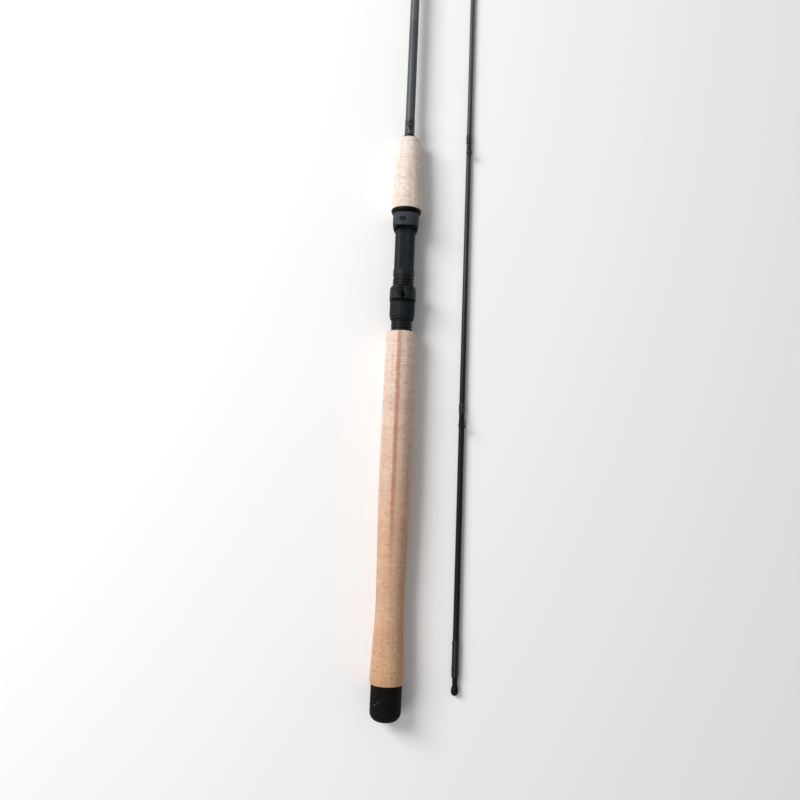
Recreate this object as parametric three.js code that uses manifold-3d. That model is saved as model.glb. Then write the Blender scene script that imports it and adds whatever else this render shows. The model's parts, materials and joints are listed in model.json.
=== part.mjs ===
// Two-piece spinning rod: the butt section with its cork handle and pipe reel seat, and the tip
// section lying beside it. Units are millimetres. Each section is drawn along +Y from its own
// lower end, its reel and guide side facing +Z, and is then laid on the plane z = 0.

import * as THREE from 'three';
import { mergeVertices } from 'three/addons/utils/BufferGeometryUtils.js';
import Module from 'manifold-3d';

// ---------------------------------------------------------------- driving dimensions

const GAP = 0.3; // clearance between neighbouring pieces

// Blanks: radius = radius at a known station, less the taper. A station is a distance along
// the section from its lower end.
const BUTT_BLANK = { from: 6, to: 1372, knownStation: 532, knownRadius: 4.4, taper: 0.0015, wall: 1.0 };
const TIP_BLANK = { from: 65, to: 1372, knownStation: 0, knownRadius: 2.95, taper: 0.001385, wall: 0.7 };
const LEAST_BORE = 0.35;
const SPIGOT = { radius: 1.85, inside: 70, outside: 55, chamfer: 0.6 };

// Handle
const BUTT_CAP = { to: 32, radius: 13.95, endFlat: 5, endRound: 8.5, wall: 6 };
const FLARE = { station: 37, radius: 15.3 };
const REAR_GRIP = {
  from: 32.3, to: 348.2, edgeRadius: 14.4, shoulder: 5.5, shoulderRadius: 13.8, faceRadius: 11, bore: 5.5,
  recessClearance: 0.1,
};
const REAR_GRIP_SWELL = [ // [station, radius]
  [33.3, 15.15], [FLARE.station, FLARE.radius], [57, 14.35], [88, 12.85], [106, 12.6], [157, 13.6],
  [194, 14.4], [230, 14.5], [253, 14.3], [304, 14.0],
];
const FOREGRIP = { from: 463, to: 532.3, edgeRadius: 13.5, endRadius: 6.4, bore: 4.85 };
const FOREGRIP_TAPER = [[464.2, 13.85], [491.8, 12.85], [511, 11.85], [527.8, 10.5]]; // up to its round
const CHECK = { from: 532.6, to: 534.4, radius: 5.9, bevelFrom: 533.8, endRadius: 5.4 };
const COLLAR = { from: 457.6, to: 462.7, radius: 13.95, shoulderStation: 460, hoodSideRadius: 12.3 };

// Reel seat
const SEAT = {
  from: 338, to: 459.5, threadFrom: 346.6, threadTo: 398, threadReliefTo: 399.9, barrelFrom: 400.5,
};
const SEAT_RADIUS = { core: 9.1, crest: 9.8, barrel: 9.7, bore: 6.3 };
const ARBORS = { rear: [346, 366], front: [432, 452] }; // foam, from and to
const THREAD = { pitch: 2.8, rootHalfWidth: 0.75, crestHalfWidth: 0.35, buried: 0.5, stepsPerTurn: 14 };
const PLATFORM = { from: 405.5, to: 440.6, height: 8.1, heightUnderHood: 7.7, sideFlat: 9.2 };
const KEYWAY = { to: 404, halfWidth: 1.3, floor: 8.4 };
const HOOD = { radius: 12.05, bore: 10.15, top: 16, endTop: 15.2, endFall: 3, crown: 2.5 };
const POCKET = { halfWidth: 6, top: 14 };
const FIXED_HOOD = { mouth: 441.1, end: 457.3, wall: 1.7, lipSetback: 4.2 };
const MOVING_HOOD = { end: 376.8, mouth: 389, wall: 2.3, lipSetback: 0 };
const SIGHT_SLOT = { halfWidth: 0.9, wideHalfWidth: 1.6, wideFrom: 378.4, wideTo: 382.5, depth: 3 };
const HOOD_KEY = { length: 6, rise: 0.5 };
const LOCK_NUT = {
  from: 358.9, to: 376.5, radius: 11.5, rearRadius: 11, rearTaper: 3.6,
  rimRadius: 11.7, rimFrom: 375.3, rimFullFrom: 375.6, rimFullTo: 376.2, faceRadius: 11.4,
};

// Hook keeper, on the blank just ahead of the foregrip
const KEEPER = {
  footFrom: 535.6, footHalfWidth: 1.1, footThickness: 0.5,
  eyeStation: 541.6, eyeRadius: 1.45, eyeHole: 0.8, eyeHalfWidth: 0.45,
  ringRadius: 2.75, wire: 0.42,
};
const KEEPER_WRAP = { from: 534.7, humpTo: 540, to: 550.7 };

// Line guides: ring radius is the outside of the metal holder
const BUTT_GUIDES = [
  {
    name: 'stripper', station: 1030,
    ring: 14, holder: 0.9, insert: 1.6, depth: 2.4, wireRadius: 0.9, foot: 15,
  },
  {
    name: 'second_guide', station: 1310,
    ring: 7, holder: 0.6, insert: 1.1, depth: 1.8, wireRadius: 0.6, foot: 11,
  },
];
// Shape of a butt guide's frame. Distances along and up are in ring radii, and the foot's width
// and thickness are in wire radii.
const BUTT_FRAME = {
  leanDegrees: -8, centreHeight: 1.25, holderDepth: 0.6,
  footHalfWidth: 1.5, footThickness: 0.9, legRoot: 0.8,
  frontReach: 1.9, frontBend: { across: 0.5, along: 1.15, up: 0.42 }, frontBelowDegrees: 15,
  rearReach: 1.4, rearBend: { across: 0.4, along: 0.85, up: 0.22 }, rearBelowDegrees: 50,
  legOverFoot: 1, bareFoot: 4, wrapTail: 2,
};
const RUNNING_GUIDES = [
  { station: 227, ring: 3.25 },
  { station: 486, ring: 2.6 },
  { station: 711, ring: 2.4 },
  { station: 911, ring: 2.3 },
  { station: 1089, ring: 2.2 },
  { station: 1239, ring: 2.2 },
];
const RUNNING = {
  holder: 0.4, insert: 0.5, depth: 1.0, wire: 0.38, lean: 38, lift: 0.9,
  holderDepth: 0.8, legReach: 3.4, bend: { across: 0.75, along: 2.1, up: 0.35 }, belowDegrees: 12,
  foot: 9, footHalfWidth: 0.684, footThickness: 0.5, legOverFoot: 0.6, bareFoot: 2, wrapTail: 1.6,
};
const INSERT_FACE = 0.3; // how far a ceramic ring's hole opens out at its two faces
const HOLE_STRAIGHT = 0.3; // the part of its depth where the hole is narrowest
const LEG_OVER_RING = 0.1; // how far outside the ring's edge a small guide's leg is centred
const WRAP_THICKNESS = 0.3;
const TIP_TOP = {
  from: 1362, to: 1374, radius: 1.75, cap: 1, ring: 3.0, ringReach: 0.9, insertDepth: 1.2, lean: -30,
  root: { across: 0.75, along: 5, up: 0.6 }, bend: { across: 0.8, along: 0.5, up: 0.45 }, belowDegrees: 10,
  wrap: 8,
};

// Ferrule end of the tip section
const SOCKET = { to: 64.7, bore: 2.15 };
const SOCKET_WRAP = { from: 1.4, to: 33, radius: 3.3, clearance: 0.1 };
const BUTT_END_WRAP = { from: 1346, to: 1370 };
const PLUG = {
  stem: 26, stemTaper: 0.1, neck: 2.3, collar: 2.5, neckLength: 7, head: 3.3, headLength: 8, headEnd: 1,
};

// How the two sections lie: the tip section's lower end is set beside the butt section and its
// far end leans towards it.
const TIP_SECTION = { offset: 61.4, station: 36.6, convergeDegrees: 0.51 };

// ---------------------------------------------------------------- materials

function finish(color, roughness, metalness = 0) {
  return new THREE.MeshStandardMaterial({ color, roughness, metalness });
}

const MATERIAL = {
  cork: finish(0xdcc0a6, 0.9),
  rubber: finish(0x171614, 0.85),
  graphite: finish(0x3c4044, 0.35),
  seat: finish(0x24272a, 0.5),
  hood: finish(0x2f3235, 0.45),
  collar: finish(0x15110f, 0.5),
  thread: finish(0x1d2022, 0.3),
  steel: finish(0x26282b, 0.35, 0.8),
  ceramic: finish(0x17181a, 0.15),
  foam: finish(0xc9c4b4, 0.9),
};

// ---------------------------------------------------------------- solids

const wasm = await Module();
wasm.setup();

/** A closed mesh as a solid that can be joined and cut. */
function toSolid(geometry) {
  const bare = geometry.index ? geometry.toNonIndexed() : geometry.clone();
  bare.deleteAttribute('normal');
  bare.deleteAttribute('uv');
  const welded = mergeVertices(bare, 1e-4);
  const corners = welded.index.array;
  const triVerts = [];
  for (let i = 0; i < corners.length; i += 3) {
    const [a, b, c] = corners.slice(i, i + 3);
    if (a !== b && b !== c && c !== a) triVerts.push(a, b, c);
  }
  return new wasm.Manifold(new wasm.Mesh({
    numProp: 3,
    vertProperties: new Float32Array(welded.attributes.position.array),
    triVerts: new Uint32Array(triVerts),
  }));
}

function toGeometry(solid) {
  const mesh = solid.getMesh();
  const geometry = new THREE.BufferGeometry();
  geometry.setAttribute('position', new THREE.BufferAttribute(mesh.vertProperties, 3));
  geometry.setIndex(new THREE.BufferAttribute(mesh.triVerts, 1));
  geometry.computeVertexNormals();
  return geometry;
}

const join = (...geometries) => geometries.map(toSolid).reduce((whole, part) => whole.add(part));
const cut = (solid, ...tools) => tools.map(toSolid).reduce((left, tool) => left.subtract(tool), solid);

/** A turned solid about Y with no bore. The outline is a list of [station, radius], going up. */
function turnedBar(outline, segments) {
  const [first, last] = [outline[0], outline[outline.length - 1]];
  const profile = [[first[0], 0], ...outline, [last[0], 0]];
  return new THREE.LatheGeometry(profile.map(([y, r]) => new THREE.Vector2(r, y)), segments);
}

/** A turned solid about Y with a bore, both outlines being lists of [station, radius], going up. */
function turnedTube(outline, bore, segments) {
  const profile = [...outline, ...[...bore].reverse(), outline[0]];
  return new THREE.LatheGeometry(profile.map(([y, r]) => new THREE.Vector2(r, y)), segments);
}

const straightBore = (from, to, radius) => [[from, radius], [to, radius]];

/** A quarter round from one [station, radius] to another, bulging away from the axis. */
function quarterRound(from, to, steps, rising) {
  const points = [];
  for (let i = 0; i <= steps; i++) {
    const turn = (i / steps) * Math.PI / 2;
    const along = rising ? 1 - Math.cos(turn) : Math.sin(turn);
    const out = rising ? Math.sin(turn) : 1 - Math.cos(turn);
    points.push([from[0] + (to[0] - from[0]) * along, from[1] + (to[1] - from[1]) * out]);
  }
  return points;
}

/** A smooth line through a few [station, radius] points. */
function smooth(points, steps) {
  const curve = new THREE.SplineCurve(points.map(([y, r]) => new THREE.Vector2(y, r)));
  return curve.getPoints(steps).map((p) => [p.x, p.y]);
}

/** A box given by its lowest and highest corners. */
function block(low, high) {
  const size = high.map((value, axis) => value - low[axis]);
  const middle = high.map((value, axis) => (value + low[axis]) / 2);
  return new THREE.BoxGeometry(...size).translate(...middle);
}

/** A round wire along a curve through the given points, with closed ends. */
function wire(points, radius, steps, sides = 6) {
  const section = new THREE.Shape();
  for (let i = 0; i < sides; i++) {
    const turn = (i / sides) * 2 * Math.PI;
    const corner = [radius * Math.cos(turn), radius * Math.sin(turn)];
    if (i === 0) section.moveTo(...corner);
    else section.lineTo(...corner);
  }
  const path = new THREE.CatmullRomCurve3(points.map((p) => new THREE.Vector3(...p)));
  return new THREE.ExtrudeGeometry(section, { steps, extrudePath: path, bevelEnabled: false });
}

/** An outline in X and Z drawn out along Y. */
function alongY(shape, from, to, curveSegments) {
  const depth = to - from;
  const solid = new THREE.ExtrudeGeometry(shape, { depth, bevelEnabled: false, curveSegments });
  return solid.rotateX(Math.PI / 2).translate(0, to, 0);
}

/** An outline in Y and Z drawn out along X, the same distance to both sides. */
function alongX(shape, halfWidth) {
  const options = { depth: 2 * halfWidth, bevelEnabled: false, curveSegments: 6 };
  const solid = new THREE.ExtrudeGeometry(shape, options);
  return solid.rotateY(Math.PI / 2).rotateX(Math.PI / 2).translate(-halfWidth, 0, 0);
}

// ---------------------------------------------------------------- scene graph helpers

const buttSection = new THREE.Group();
const tipSection = new THREE.Group();

function add(section, name, shape, material) {
  const geometry = shape.isBufferGeometry ? shape : toGeometry(shape);
  const mesh = new THREE.Mesh(geometry, material);
  mesh.name = name;
  section.add(mesh);
}

const blankRadius = (blank, station) =>
  blank.knownRadius - blank.taper * (station - blank.knownStation);

// ---------------------------------------------------------------- blanks and ferrule

function blankTube(blank, segments) {
  const radii = [blank.from, blank.to].map((station) => [station, blankRadius(blank, station)]);
  const bore = radii.map(([station, radius]) => [station, Math.max(radius - blank.wall, LEAST_BORE)]);
  return turnedTube(radii, bore, segments);
}

function spigot() {
  const from = BUTT_BLANK.to - SPIGOT.inside;
  const to = BUTT_BLANK.to + SPIGOT.outside;
  const outline = [
    [from, SPIGOT.radius],
    [to - SPIGOT.chamfer, SPIGOT.radius],
    [to, SPIGOT.radius - SPIGOT.chamfer],
  ];
  return turnedBar(outline, 16);
}

function ferruleSocket() {
  const outline = [0, SOCKET.to].map((station) => [station, blankRadius(TIP_BLANK, station)]);
  return turnedTube(outline, straightBore(0, SOCKET.to, SOCKET.bore), 16);
}

function socketWrap() {
  const { from, to, radius, clearance } = SOCKET_WRAP;
  const bore = TIP_BLANK.knownRadius + clearance;
  return turnedTube(straightBore(from, to, radius), straightBore(from, to, bore), 16);
}

function ferrulePlug() {
  const end = [-PLUG.neckLength - PLUG.headLength, PLUG.headEnd];
  const widest = [-PLUG.neckLength - PLUG.headLength / 2, PLUG.head];
  const neck = [-PLUG.neckLength, PLUG.neck];
  const outline = [
    ...quarterRound(end, widest, 3, true),
    ...quarterRound(widest, neck, 2, false).slice(1),
    [-GAP, PLUG.collar],
    [-GAP, SOCKET.bore - GAP],
    [PLUG.stem, SOCKET.bore - GAP - PLUG.stemTaper],
  ];
  return turnedBar(outline, 14);
}

// ---------------------------------------------------------------- handle

function buttCap() {
  const bore = blankRadius(BUTT_BLANK, BUTT_BLANK.from) + GAP;
  const outer = [
    ...quarterRound([0, BUTT_CAP.endFlat], [BUTT_CAP.endRound, BUTT_CAP.radius], 5, true),
    [BUTT_CAP.to, BUTT_CAP.radius],
  ];
  const floor = BUTT_CAP.wall - GAP;
  const profile = [[0, 0], ...outer, [BUTT_CAP.to, bore], [floor, bore], [floor, 0]];
  return new THREE.LatheGeometry(profile.map(([y, r]) => new THREE.Vector2(r, y)), 28);
}

function rearGrip() {
  const shoulder = [REAR_GRIP.to - REAR_GRIP.shoulder, REAR_GRIP.shoulderRadius];
  const swell = smooth([...REAR_GRIP_SWELL, shoulder], 18)
    .map(([station, radius]) => [station, Math.min(radius, FLARE.radius)]);
  const outline = [
    [REAR_GRIP.from, REAR_GRIP.edgeRadius],
    ...swell,
    ...quarterRound(shoulder, [REAR_GRIP.to, REAR_GRIP.faceRadius], 3, false).slice(1),
  ];
  const recess = SEAT_RADIUS.crest + GAP + REAR_GRIP.recessClearance;
  const bore = [
    [REAR_GRIP.from, REAR_GRIP.bore],
    [SEAT.from - GAP, REAR_GRIP.bore],
    [SEAT.from - GAP, recess],
    [REAR_GRIP.to, recess],
  ];
  return turnedTube(outline, bore, 24);
}

function foregrip() {
  const roundStart = FOREGRIP_TAPER[FOREGRIP_TAPER.length - 1];
  const outline = [
    [FOREGRIP.from, FOREGRIP.edgeRadius],
    ...smooth(FOREGRIP_TAPER, 6),
    ...quarterRound(roundStart, [FOREGRIP.to, FOREGRIP.endRadius], 4, false).slice(1),
  ];
  return turnedTube(outline, straightBore(FOREGRIP.from, FOREGRIP.to, FOREGRIP.bore), 24);
}

function collarRing() {
  const outline = [
    [COLLAR.from, COLLAR.hoodSideRadius],
    [COLLAR.shoulderStation, COLLAR.radius],
    [COLLAR.to, COLLAR.radius],
  ];
  return turnedTube(outline, straightBore(COLLAR.from, COLLAR.to, SEAT_RADIUS.barrel + GAP), 28);
}

function windingCheck() {
  const outline = [
    [CHECK.from, CHECK.radius],
    [CHECK.bevelFrom, CHECK.radius],
    [CHECK.to, CHECK.endRadius],
  ];
  return turnedTube(outline, straightBore(CHECK.from, CHECK.to, FOREGRIP.bore), 20);
}

// ---------------------------------------------------------------- reel seat

/**
 * A trapezoid ridge wound round the Y axis as a right-hand thread. It is grown by `extra` on its
 * crest and flanks to make the matching groove of the nut.
 */
function threadRidge(from, to, extra) {
  const root = SEAT_RADIUS.core - THREAD.buried;
  const crest = SEAT_RADIUS.crest + extra;
  const halfRoot = THREAD.rootHalfWidth + extra;
  const halfCrest = THREAD.crestHalfWidth + extra;
  const section = [[root, -halfRoot], [crest, -halfCrest], [crest, halfCrest], [root, halfRoot]];
  const steps = Math.round((to - from) / THREAD.pitch * THREAD.stepsPerTurn);
  const position = [];
  for (let i = 0; i <= steps; i++) {
    const turn = i / THREAD.stepsPerTurn * 2 * Math.PI;
    const station = from + i / THREAD.stepsPerTurn * THREAD.pitch;
    for (const [radius, offset] of section) {
      position.push(radius * Math.sin(turn), station + offset, radius * Math.cos(turn));
    }
  }
  const index = [0, 1, 3, 1, 2, 3];
  const last = steps * 4;
  index.push(last, last + 3, last + 1, last + 1, last + 3, last + 2);
  for (let i = 0; i < steps; i++) {
    for (let side = 0; side < 4; side++) {
      const a = i * 4 + side;
      const b = i * 4 + (side + 1) % 4;
      index.push(a, a + 4, b, b, a + 4, b + 4);
    }
  }
  const ridge = new THREE.BufferGeometry();
  ridge.setAttribute('position', new THREE.Float32BufferAttribute(position, 3));
  ridge.setIndex(index);
  return ridge;
}

function seatBody() {
  const outline = [
    [SEAT.from, SEAT_RADIUS.core],
    [SEAT.threadReliefTo, SEAT_RADIUS.core],
    [SEAT.barrelFrom, SEAT_RADIUS.barrel],
    [SEAT.to, SEAT_RADIUS.barrel],
  ];
  const bore = straightBore(SEAT.from, SEAT.to, SEAT_RADIUS.bore);
  const tube = turnedTube(outline, bore, THREAD.stepsPerTurn);
  const out = 2 * SEAT_RADIUS.barrel; // clear of the seat on any side
  const { from, to, height, heightUnderHood, sideFlat } = PLATFORM;
  const platform = block([-out, from, height], [out, SEAT.to + 1, out]);
  const hoodFloor = block([-out, to, heightUnderHood], [out, SEAT.to + 1, out]);
  const leftFlat = block([-out, from, -out], [-sideFlat, FIXED_HOOD.mouth, out]);
  const rightFlat = block([sideFlat, from, -out], [out, FIXED_HOOD.mouth, out]);
  const keyway = block(
    [-KEYWAY.halfWidth, SEAT.from - 1, -out],
    [KEYWAY.halfWidth, KEYWAY.to, -KEYWAY.floor],
  );
  const threaded = join(tube, threadRidge(SEAT.threadFrom, SEAT.threadTo, 0));
  return cut(threaded, platform, hoodFloor, leftFlat, rightFlat, keyway);
}

function arbor(from, to) {
  const bore = blankRadius(BUTT_BLANK, from) + GAP;
  return turnedTube(straightBore(from, to, SEAT_RADIUS.bore - GAP), straightBore(from, to, bore), 20);
}

/** The front view of a hood: round below its middle, and a higher crowned roof above it. */
function hoodOutline(steps) {
  const points = [];
  for (let i = 0; i <= steps; i++) {
    const across = Math.cos((i / steps) * Math.PI);
    const rise = (1 - Math.abs(across) ** HOOD.crown) ** (1 / HOOD.crown);
    points.push(new THREE.Vector2(HOOD.radius * across, HOOD.top * rise));
  }
  const shape = new THREE.Shape(points);
  shape.absarc(0, 0, HOOD.radius, Math.PI, 2 * Math.PI, false);
  return shape;
}

/** The side view of a hood. Its mouth leans back to the lip, and its roof falls to the closed end. */
function hoodSide({ mouth, end, lipSetback }) {
  const toEnd = Math.sign(end - mouth);
  const below = -HOOD.radius - 1;
  const shape = new THREE.Shape();
  shape.moveTo(mouth, below);
  shape.lineTo(mouth, 0);
  shape.lineTo(mouth + toEnd * lipSetback, HOOD.top);
  shape.quadraticCurveTo(end - toEnd * HOOD.endFall, HOOD.top, end, HOOD.endTop);
  shape.lineTo(end, below);
  return shape;
}

/** A hood round the seat, with a pocket for the reel foot that opens at its mouth. */
function hoodShell(hood) {
  const { mouth, end, wall } = hood;
  const low = Math.min(mouth, end);
  const high = Math.max(mouth, end);
  const toEnd = Math.sign(end - mouth);
  const body = toSolid(alongY(hoodOutline(24), low, high, 12));
  const side = toSolid(alongX(hoodSide(hood), HOOD.radius + 1));
  const [pocketLow, pocketHigh] = [mouth - toEnd, end - toEnd * wall].sort((a, b) => a - b);
  const pocket = block(
    [-POCKET.halfWidth, pocketLow, 0],
    [POCKET.halfWidth, pocketHigh, POCKET.top],
  );
  const bore = turnedBar([[low - 1, HOOD.bore], [high + 1, HOOD.bore]], 32);
  return cut(body.intersect(side), bore, pocket);
}

function movingHood() {
  const { halfWidth, wideHalfWidth, wideFrom, wideTo, depth } = SIGHT_SLOT;
  const [floor, above] = [HOOD.top - depth, HOOD.top + 1];
  const slot = block(
    [-halfWidth, MOVING_HOOD.end - 1, floor],
    [halfWidth, MOVING_HOOD.mouth + 1, above],
  );
  const wideSlot = block([-wideHalfWidth, wideFrom, floor], [wideHalfWidth, wideTo, above]);
  const key = block(
    [GAP - KEYWAY.halfWidth, MOVING_HOOD.end, -HOOD.bore - HOOD_KEY.rise],
    [KEYWAY.halfWidth - GAP, MOVING_HOOD.end + HOOD_KEY.length, -KEYWAY.floor - GAP],
  );
  return cut(hoodShell(MOVING_HOOD), slot, wideSlot).add(toSolid(key));
}

function lockNut() {
  const { from, to, radius, rearRadius, rearTaper, rimRadius } = LOCK_NUT;
  const outline = [
    [from, rearRadius],
    [from + rearTaper, radius],
    [LOCK_NUT.rimFrom, radius],
    [LOCK_NUT.rimFullFrom, rimRadius],
    [LOCK_NUT.rimFullTo, rimRadius],
    [to, LOCK_NUT.faceRadius],
  ];
  const bore = SEAT_RADIUS.core + GAP;
  const blankNut = toSolid(turnedTube(outline, straightBore(from, to, bore), 2 * THREAD.stepsPerTurn));
  // the groove follows the seat's own thread, a whole number of turns along
  const turnsBefore = Math.floor((from - SEAT.threadFrom) / THREAD.pitch) - 1;
  const grooveFrom = SEAT.threadFrom + turnsBefore * THREAD.pitch;
  return cut(blankNut, threadRidge(grooveFrom, to + THREAD.pitch, GAP));
}

// ---------------------------------------------------------------- thread wraps

/**
 * A sleeve of wound thread on a blank. Over the foot that it holds down, if there is one, it is
 * raised from `from` or `to`, whichever end the foot comes out of, to just past the foot's tip.
 */
function threadWrap(blank, from, to, foot) {
  const bore = [from, to].map((station) => [station, blankRadius(blank, station) + GAP]);
  const outline = bore.map(([station, radius]) => [station, radius + WRAP_THICKNESS]);
  const sleeve = turnedTube(outline, bore, 12);
  if (!foot) return sleeve;
  const inner = foot.halfWidth + GAP;
  const channelTop = foot.top + GAP;
  const sunk = blankRadius(blank, from) / 2; // well below the sleeve's own wall
  const hump = block(
    [-inner - WRAP_THICKNESS, Math.max(from, foot.from - GAP - WRAP_THICKNESS), sunk],
    [inner + WRAP_THICKNESS, Math.min(to, foot.to + GAP + WRAP_THICKNESS), channelTop + WRAP_THICKNESS],
  );
  const channel = block([-inner, foot.from - GAP, sunk], [inner, foot.to + GAP, channelTop]);
  const reach = 1;
  const blankHole = turnedBar([
    [from - reach, blankRadius(blank, from - reach) + GAP],
    [to + reach, blankRadius(blank, to + reach) + GAP],
  ], 12);
  return cut(join(sleeve, hump), channel, blankHole);
}

// ---------------------------------------------------------------- line guides

/** A ring about Y, square in section, centred on the origin. */
function ringBand(outer, inner, depth, segments) {
  const half = depth / 2;
  return turnedTube(straightBore(-half, half, outer), straightBore(-half, half, inner), segments);
}

/** A ceramic insert, thinnest at its two faces. */
function insertRing(outer, inner, depth, segments) {
  const half = depth / 2;
  const outline = [[-half, outer], [half, outer]];
  const straight = half * HOLE_STRAIGHT;
  const open = inner + INSERT_FACE;
  const bore = [[-half, open], [-straight, inner], [straight, inner], [half, open]];
  return turnedTube(outline, bore, segments);
}

/** Leans a shape about X and moves it to a centre. */
const leaned = (degrees, centre) => (geometry) =>
  geometry.rotateX(THREE.MathUtils.degToRad(degrees)).translate(...centre);

/** A point on the outside of a ring, `below` degrees under its widest point. */
function onRing(radius, side, below, lean, centre) {
  const angle = THREE.MathUtils.degToRad(below);
  const point = new THREE.Vector3(side * radius * Math.cos(angle), 0, -radius * Math.sin(angle));
  point.applyAxisAngle(new THREE.Vector3(1, 0, 0), THREE.MathUtils.degToRad(lean));
  return point.add(new THREE.Vector3(...centre)).toArray();
}

/** A double-foot guide: an upright ring on two pairs of legs. */
function addButtGuide(guide) {
  const { name, station, ring, holder, insert, depth, wireRadius, foot } = guide;
  const { leanDegrees, frontBend, rearBend, legOverFoot, bareFoot, wrapTail } = BUTT_FRAME;
  const surface = blankRadius(BUTT_BLANK, station);
  const centre = [0, station, surface + BUTT_FRAME.centreHeight * ring];
  const place = leaned(leanDegrees, centre);
  const base = surface + GAP;
  const top = base + wireRadius * BUTT_FRAME.footThickness;
  const legRoot = base + wireRadius * BUTT_FRAME.legRoot;
  const frontFoot = station + ring * BUTT_FRAME.frontReach;
  const rearFoot = station - ring * BUTT_FRAME.rearReach;
  const halfWidth = wireRadius * BUTT_FRAME.footHalfWidth;
  const pieces = [
    place(ringBand(ring, ring - holder, depth * BUTT_FRAME.holderDepth, 24)),
    block([-halfWidth, frontFoot, base], [halfWidth, frontFoot + foot, top]),
    block([-halfWidth, rearFoot - foot, base], [halfWidth, rearFoot, top]),
  ];
  for (const side of [-1, 1]) {
    pieces.push(wire([
      onRing(ring, side, BUTT_FRAME.frontBelowDegrees, leanDegrees, centre),
      [side * ring * frontBend.across, station + ring * frontBend.along, legRoot + ring * frontBend.up],
      [side * wireRadius, frontFoot + legOverFoot, legRoot],
    ], wireRadius, 5));
    pieces.push(wire([
      onRing(ring, side, BUTT_FRAME.rearBelowDegrees, leanDegrees, centre),
      [side * ring * rearBend.across, station - ring * rearBend.along, legRoot + ring * rearBend.up],
      [side * wireRadius, rearFoot - legOverFoot, legRoot],
    ], wireRadius, 4));
  }
  add(buttSection, `${name}_frame`, join(...pieces), MATERIAL.steel);

  const insertOuter = ring - holder - GAP;
  const insertGeometry = place(insertRing(insertOuter, insertOuter - insert, depth, 24));
  add(buttSection, `${name}_ring`, insertGeometry, MATERIAL.ceramic);

  const frontHold = { from: frontFoot, to: frontFoot + foot, halfWidth, top };
  const frontWrap = threadWrap(BUTT_BLANK, frontFoot + bareFoot, frontFoot + foot + wrapTail, frontHold);
  add(buttSection, `${name}_wrap_front`, frontWrap, MATERIAL.thread);
  const rearHold = { from: rearFoot - foot, to: rearFoot, halfWidth, top };
  const rearWrap = threadWrap(BUTT_BLANK, rearFoot - foot - wrapTail, rearFoot - bareFoot, rearHold);
  add(buttSection, `${name}_wrap_rear`, rearWrap, MATERIAL.thread);
}

/** A single-foot guide: two legs run from the foot back to a ring that leans towards the butt. */
function addRunningGuide({ station, ring }, number) {
  const { bend, footHalfWidth: halfWidth } = RUNNING;
  const surface = blankRadius(TIP_BLANK, station);
  const lean = THREE.MathUtils.degToRad(RUNNING.lean);
  const centre = [0, station, surface + RUNNING.lift + ring * Math.cos(lean)];
  const place = leaned(RUNNING.lean, centre);
  const base = surface + GAP;
  const top = base + RUNNING.footThickness;
  const legRoot = base + RUNNING.wire;
  const footFrom = station + ring * RUNNING.legReach;
  const footTo = footFrom + RUNNING.foot;
  const pieces = [
    place(ringBand(ring, ring - RUNNING.holder, RUNNING.depth * RUNNING.holderDepth, 12)),
    block([-halfWidth, footFrom, base], [halfWidth, footTo, top]),
  ];
  for (const side of [-1, 1]) {
    pieces.push(wire([
      onRing(ring + LEG_OVER_RING, side, RUNNING.belowDegrees, RUNNING.lean, centre),
      [side * ring * bend.across, station + ring * bend.along, legRoot + ring * bend.up],
      [side * RUNNING.wire, footFrom + RUNNING.legOverFoot, legRoot],
    ], RUNNING.wire, 4, 5));
  }
  const name = `running_guide_${number}`;
  add(tipSection, `${name}_frame`, join(...pieces), MATERIAL.steel);

  const insertOuter = ring - RUNNING.holder - GAP;
  const insertGeometry = place(insertRing(insertOuter, insertOuter - RUNNING.insert, RUNNING.depth, 12));
  add(tipSection, `${name}_ring`, insertGeometry, MATERIAL.ceramic);

  const hold = { from: footFrom, to: footTo, halfWidth, top };
  const wrap = threadWrap(TIP_BLANK, footFrom + RUNNING.bareFoot, footTo + RUNNING.wrapTail, hold);
  add(tipSection, `${name}_wrap`, wrap, MATERIAL.thread);
}

/** The tip-top: a tube over the end of the blank, carrying the last ring on two legs. */
function addTipTop() {
  const { from, to, radius, ring, lean, root, bend } = TIP_TOP;
  const bore = blankRadius(TIP_BLANK, from) + GAP;
  const cap = to - TIP_TOP.cap;
  const tubeProfile = [[0, cap], [bore, cap], [bore, from], [radius, from], [radius, to], [0, to]];
  const tube = new THREE.LatheGeometry(tubeProfile.map(([r, y]) => new THREE.Vector2(r, y)), 14);
  const centre = [0, to + ring * TIP_TOP.ringReach, ring * TIP_TOP.ringReach];
  const place = leaned(lean, centre);
  const pieces = [tube, place(ringBand(ring, ring - RUNNING.holder, RUNNING.depth, 16))];
  for (const side of [-1, 1]) {
    pieces.push(wire([
      [side * radius * root.across, to - root.along, root.up],
      [side * ring * bend.across, to - bend.along, ring * bend.up],
      onRing(ring + LEG_OVER_RING, side, TIP_TOP.belowDegrees, lean, centre),
    ], RUNNING.wire, 4, 5));
  }
  add(tipSection, 'tip_top_frame', join(...pieces), MATERIAL.steel);
  const insertOuter = ring - RUNNING.holder - GAP;
  const insertDepth = RUNNING.depth * TIP_TOP.insertDepth;
  const insertGeometry = place(insertRing(insertOuter, insertOuter - RUNNING.insert, insertDepth, 16));
  add(tipSection, 'tip_top_ring', insertGeometry, MATERIAL.ceramic);
  add(tipSection, 'tip_top_wrap', threadWrap(TIP_BLANK, from - TIP_TOP.wrap, from - GAP), MATERIAL.thread);
}

// ---------------------------------------------------------------- hook keeper

const keeperBase = blankRadius(BUTT_BLANK, KEEPER.eyeStation) + GAP;
const keeperEyeHeight = keeperBase + KEEPER.eyeRadius;
const keeperFootTop = keeperBase + KEEPER.footThickness;

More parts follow.
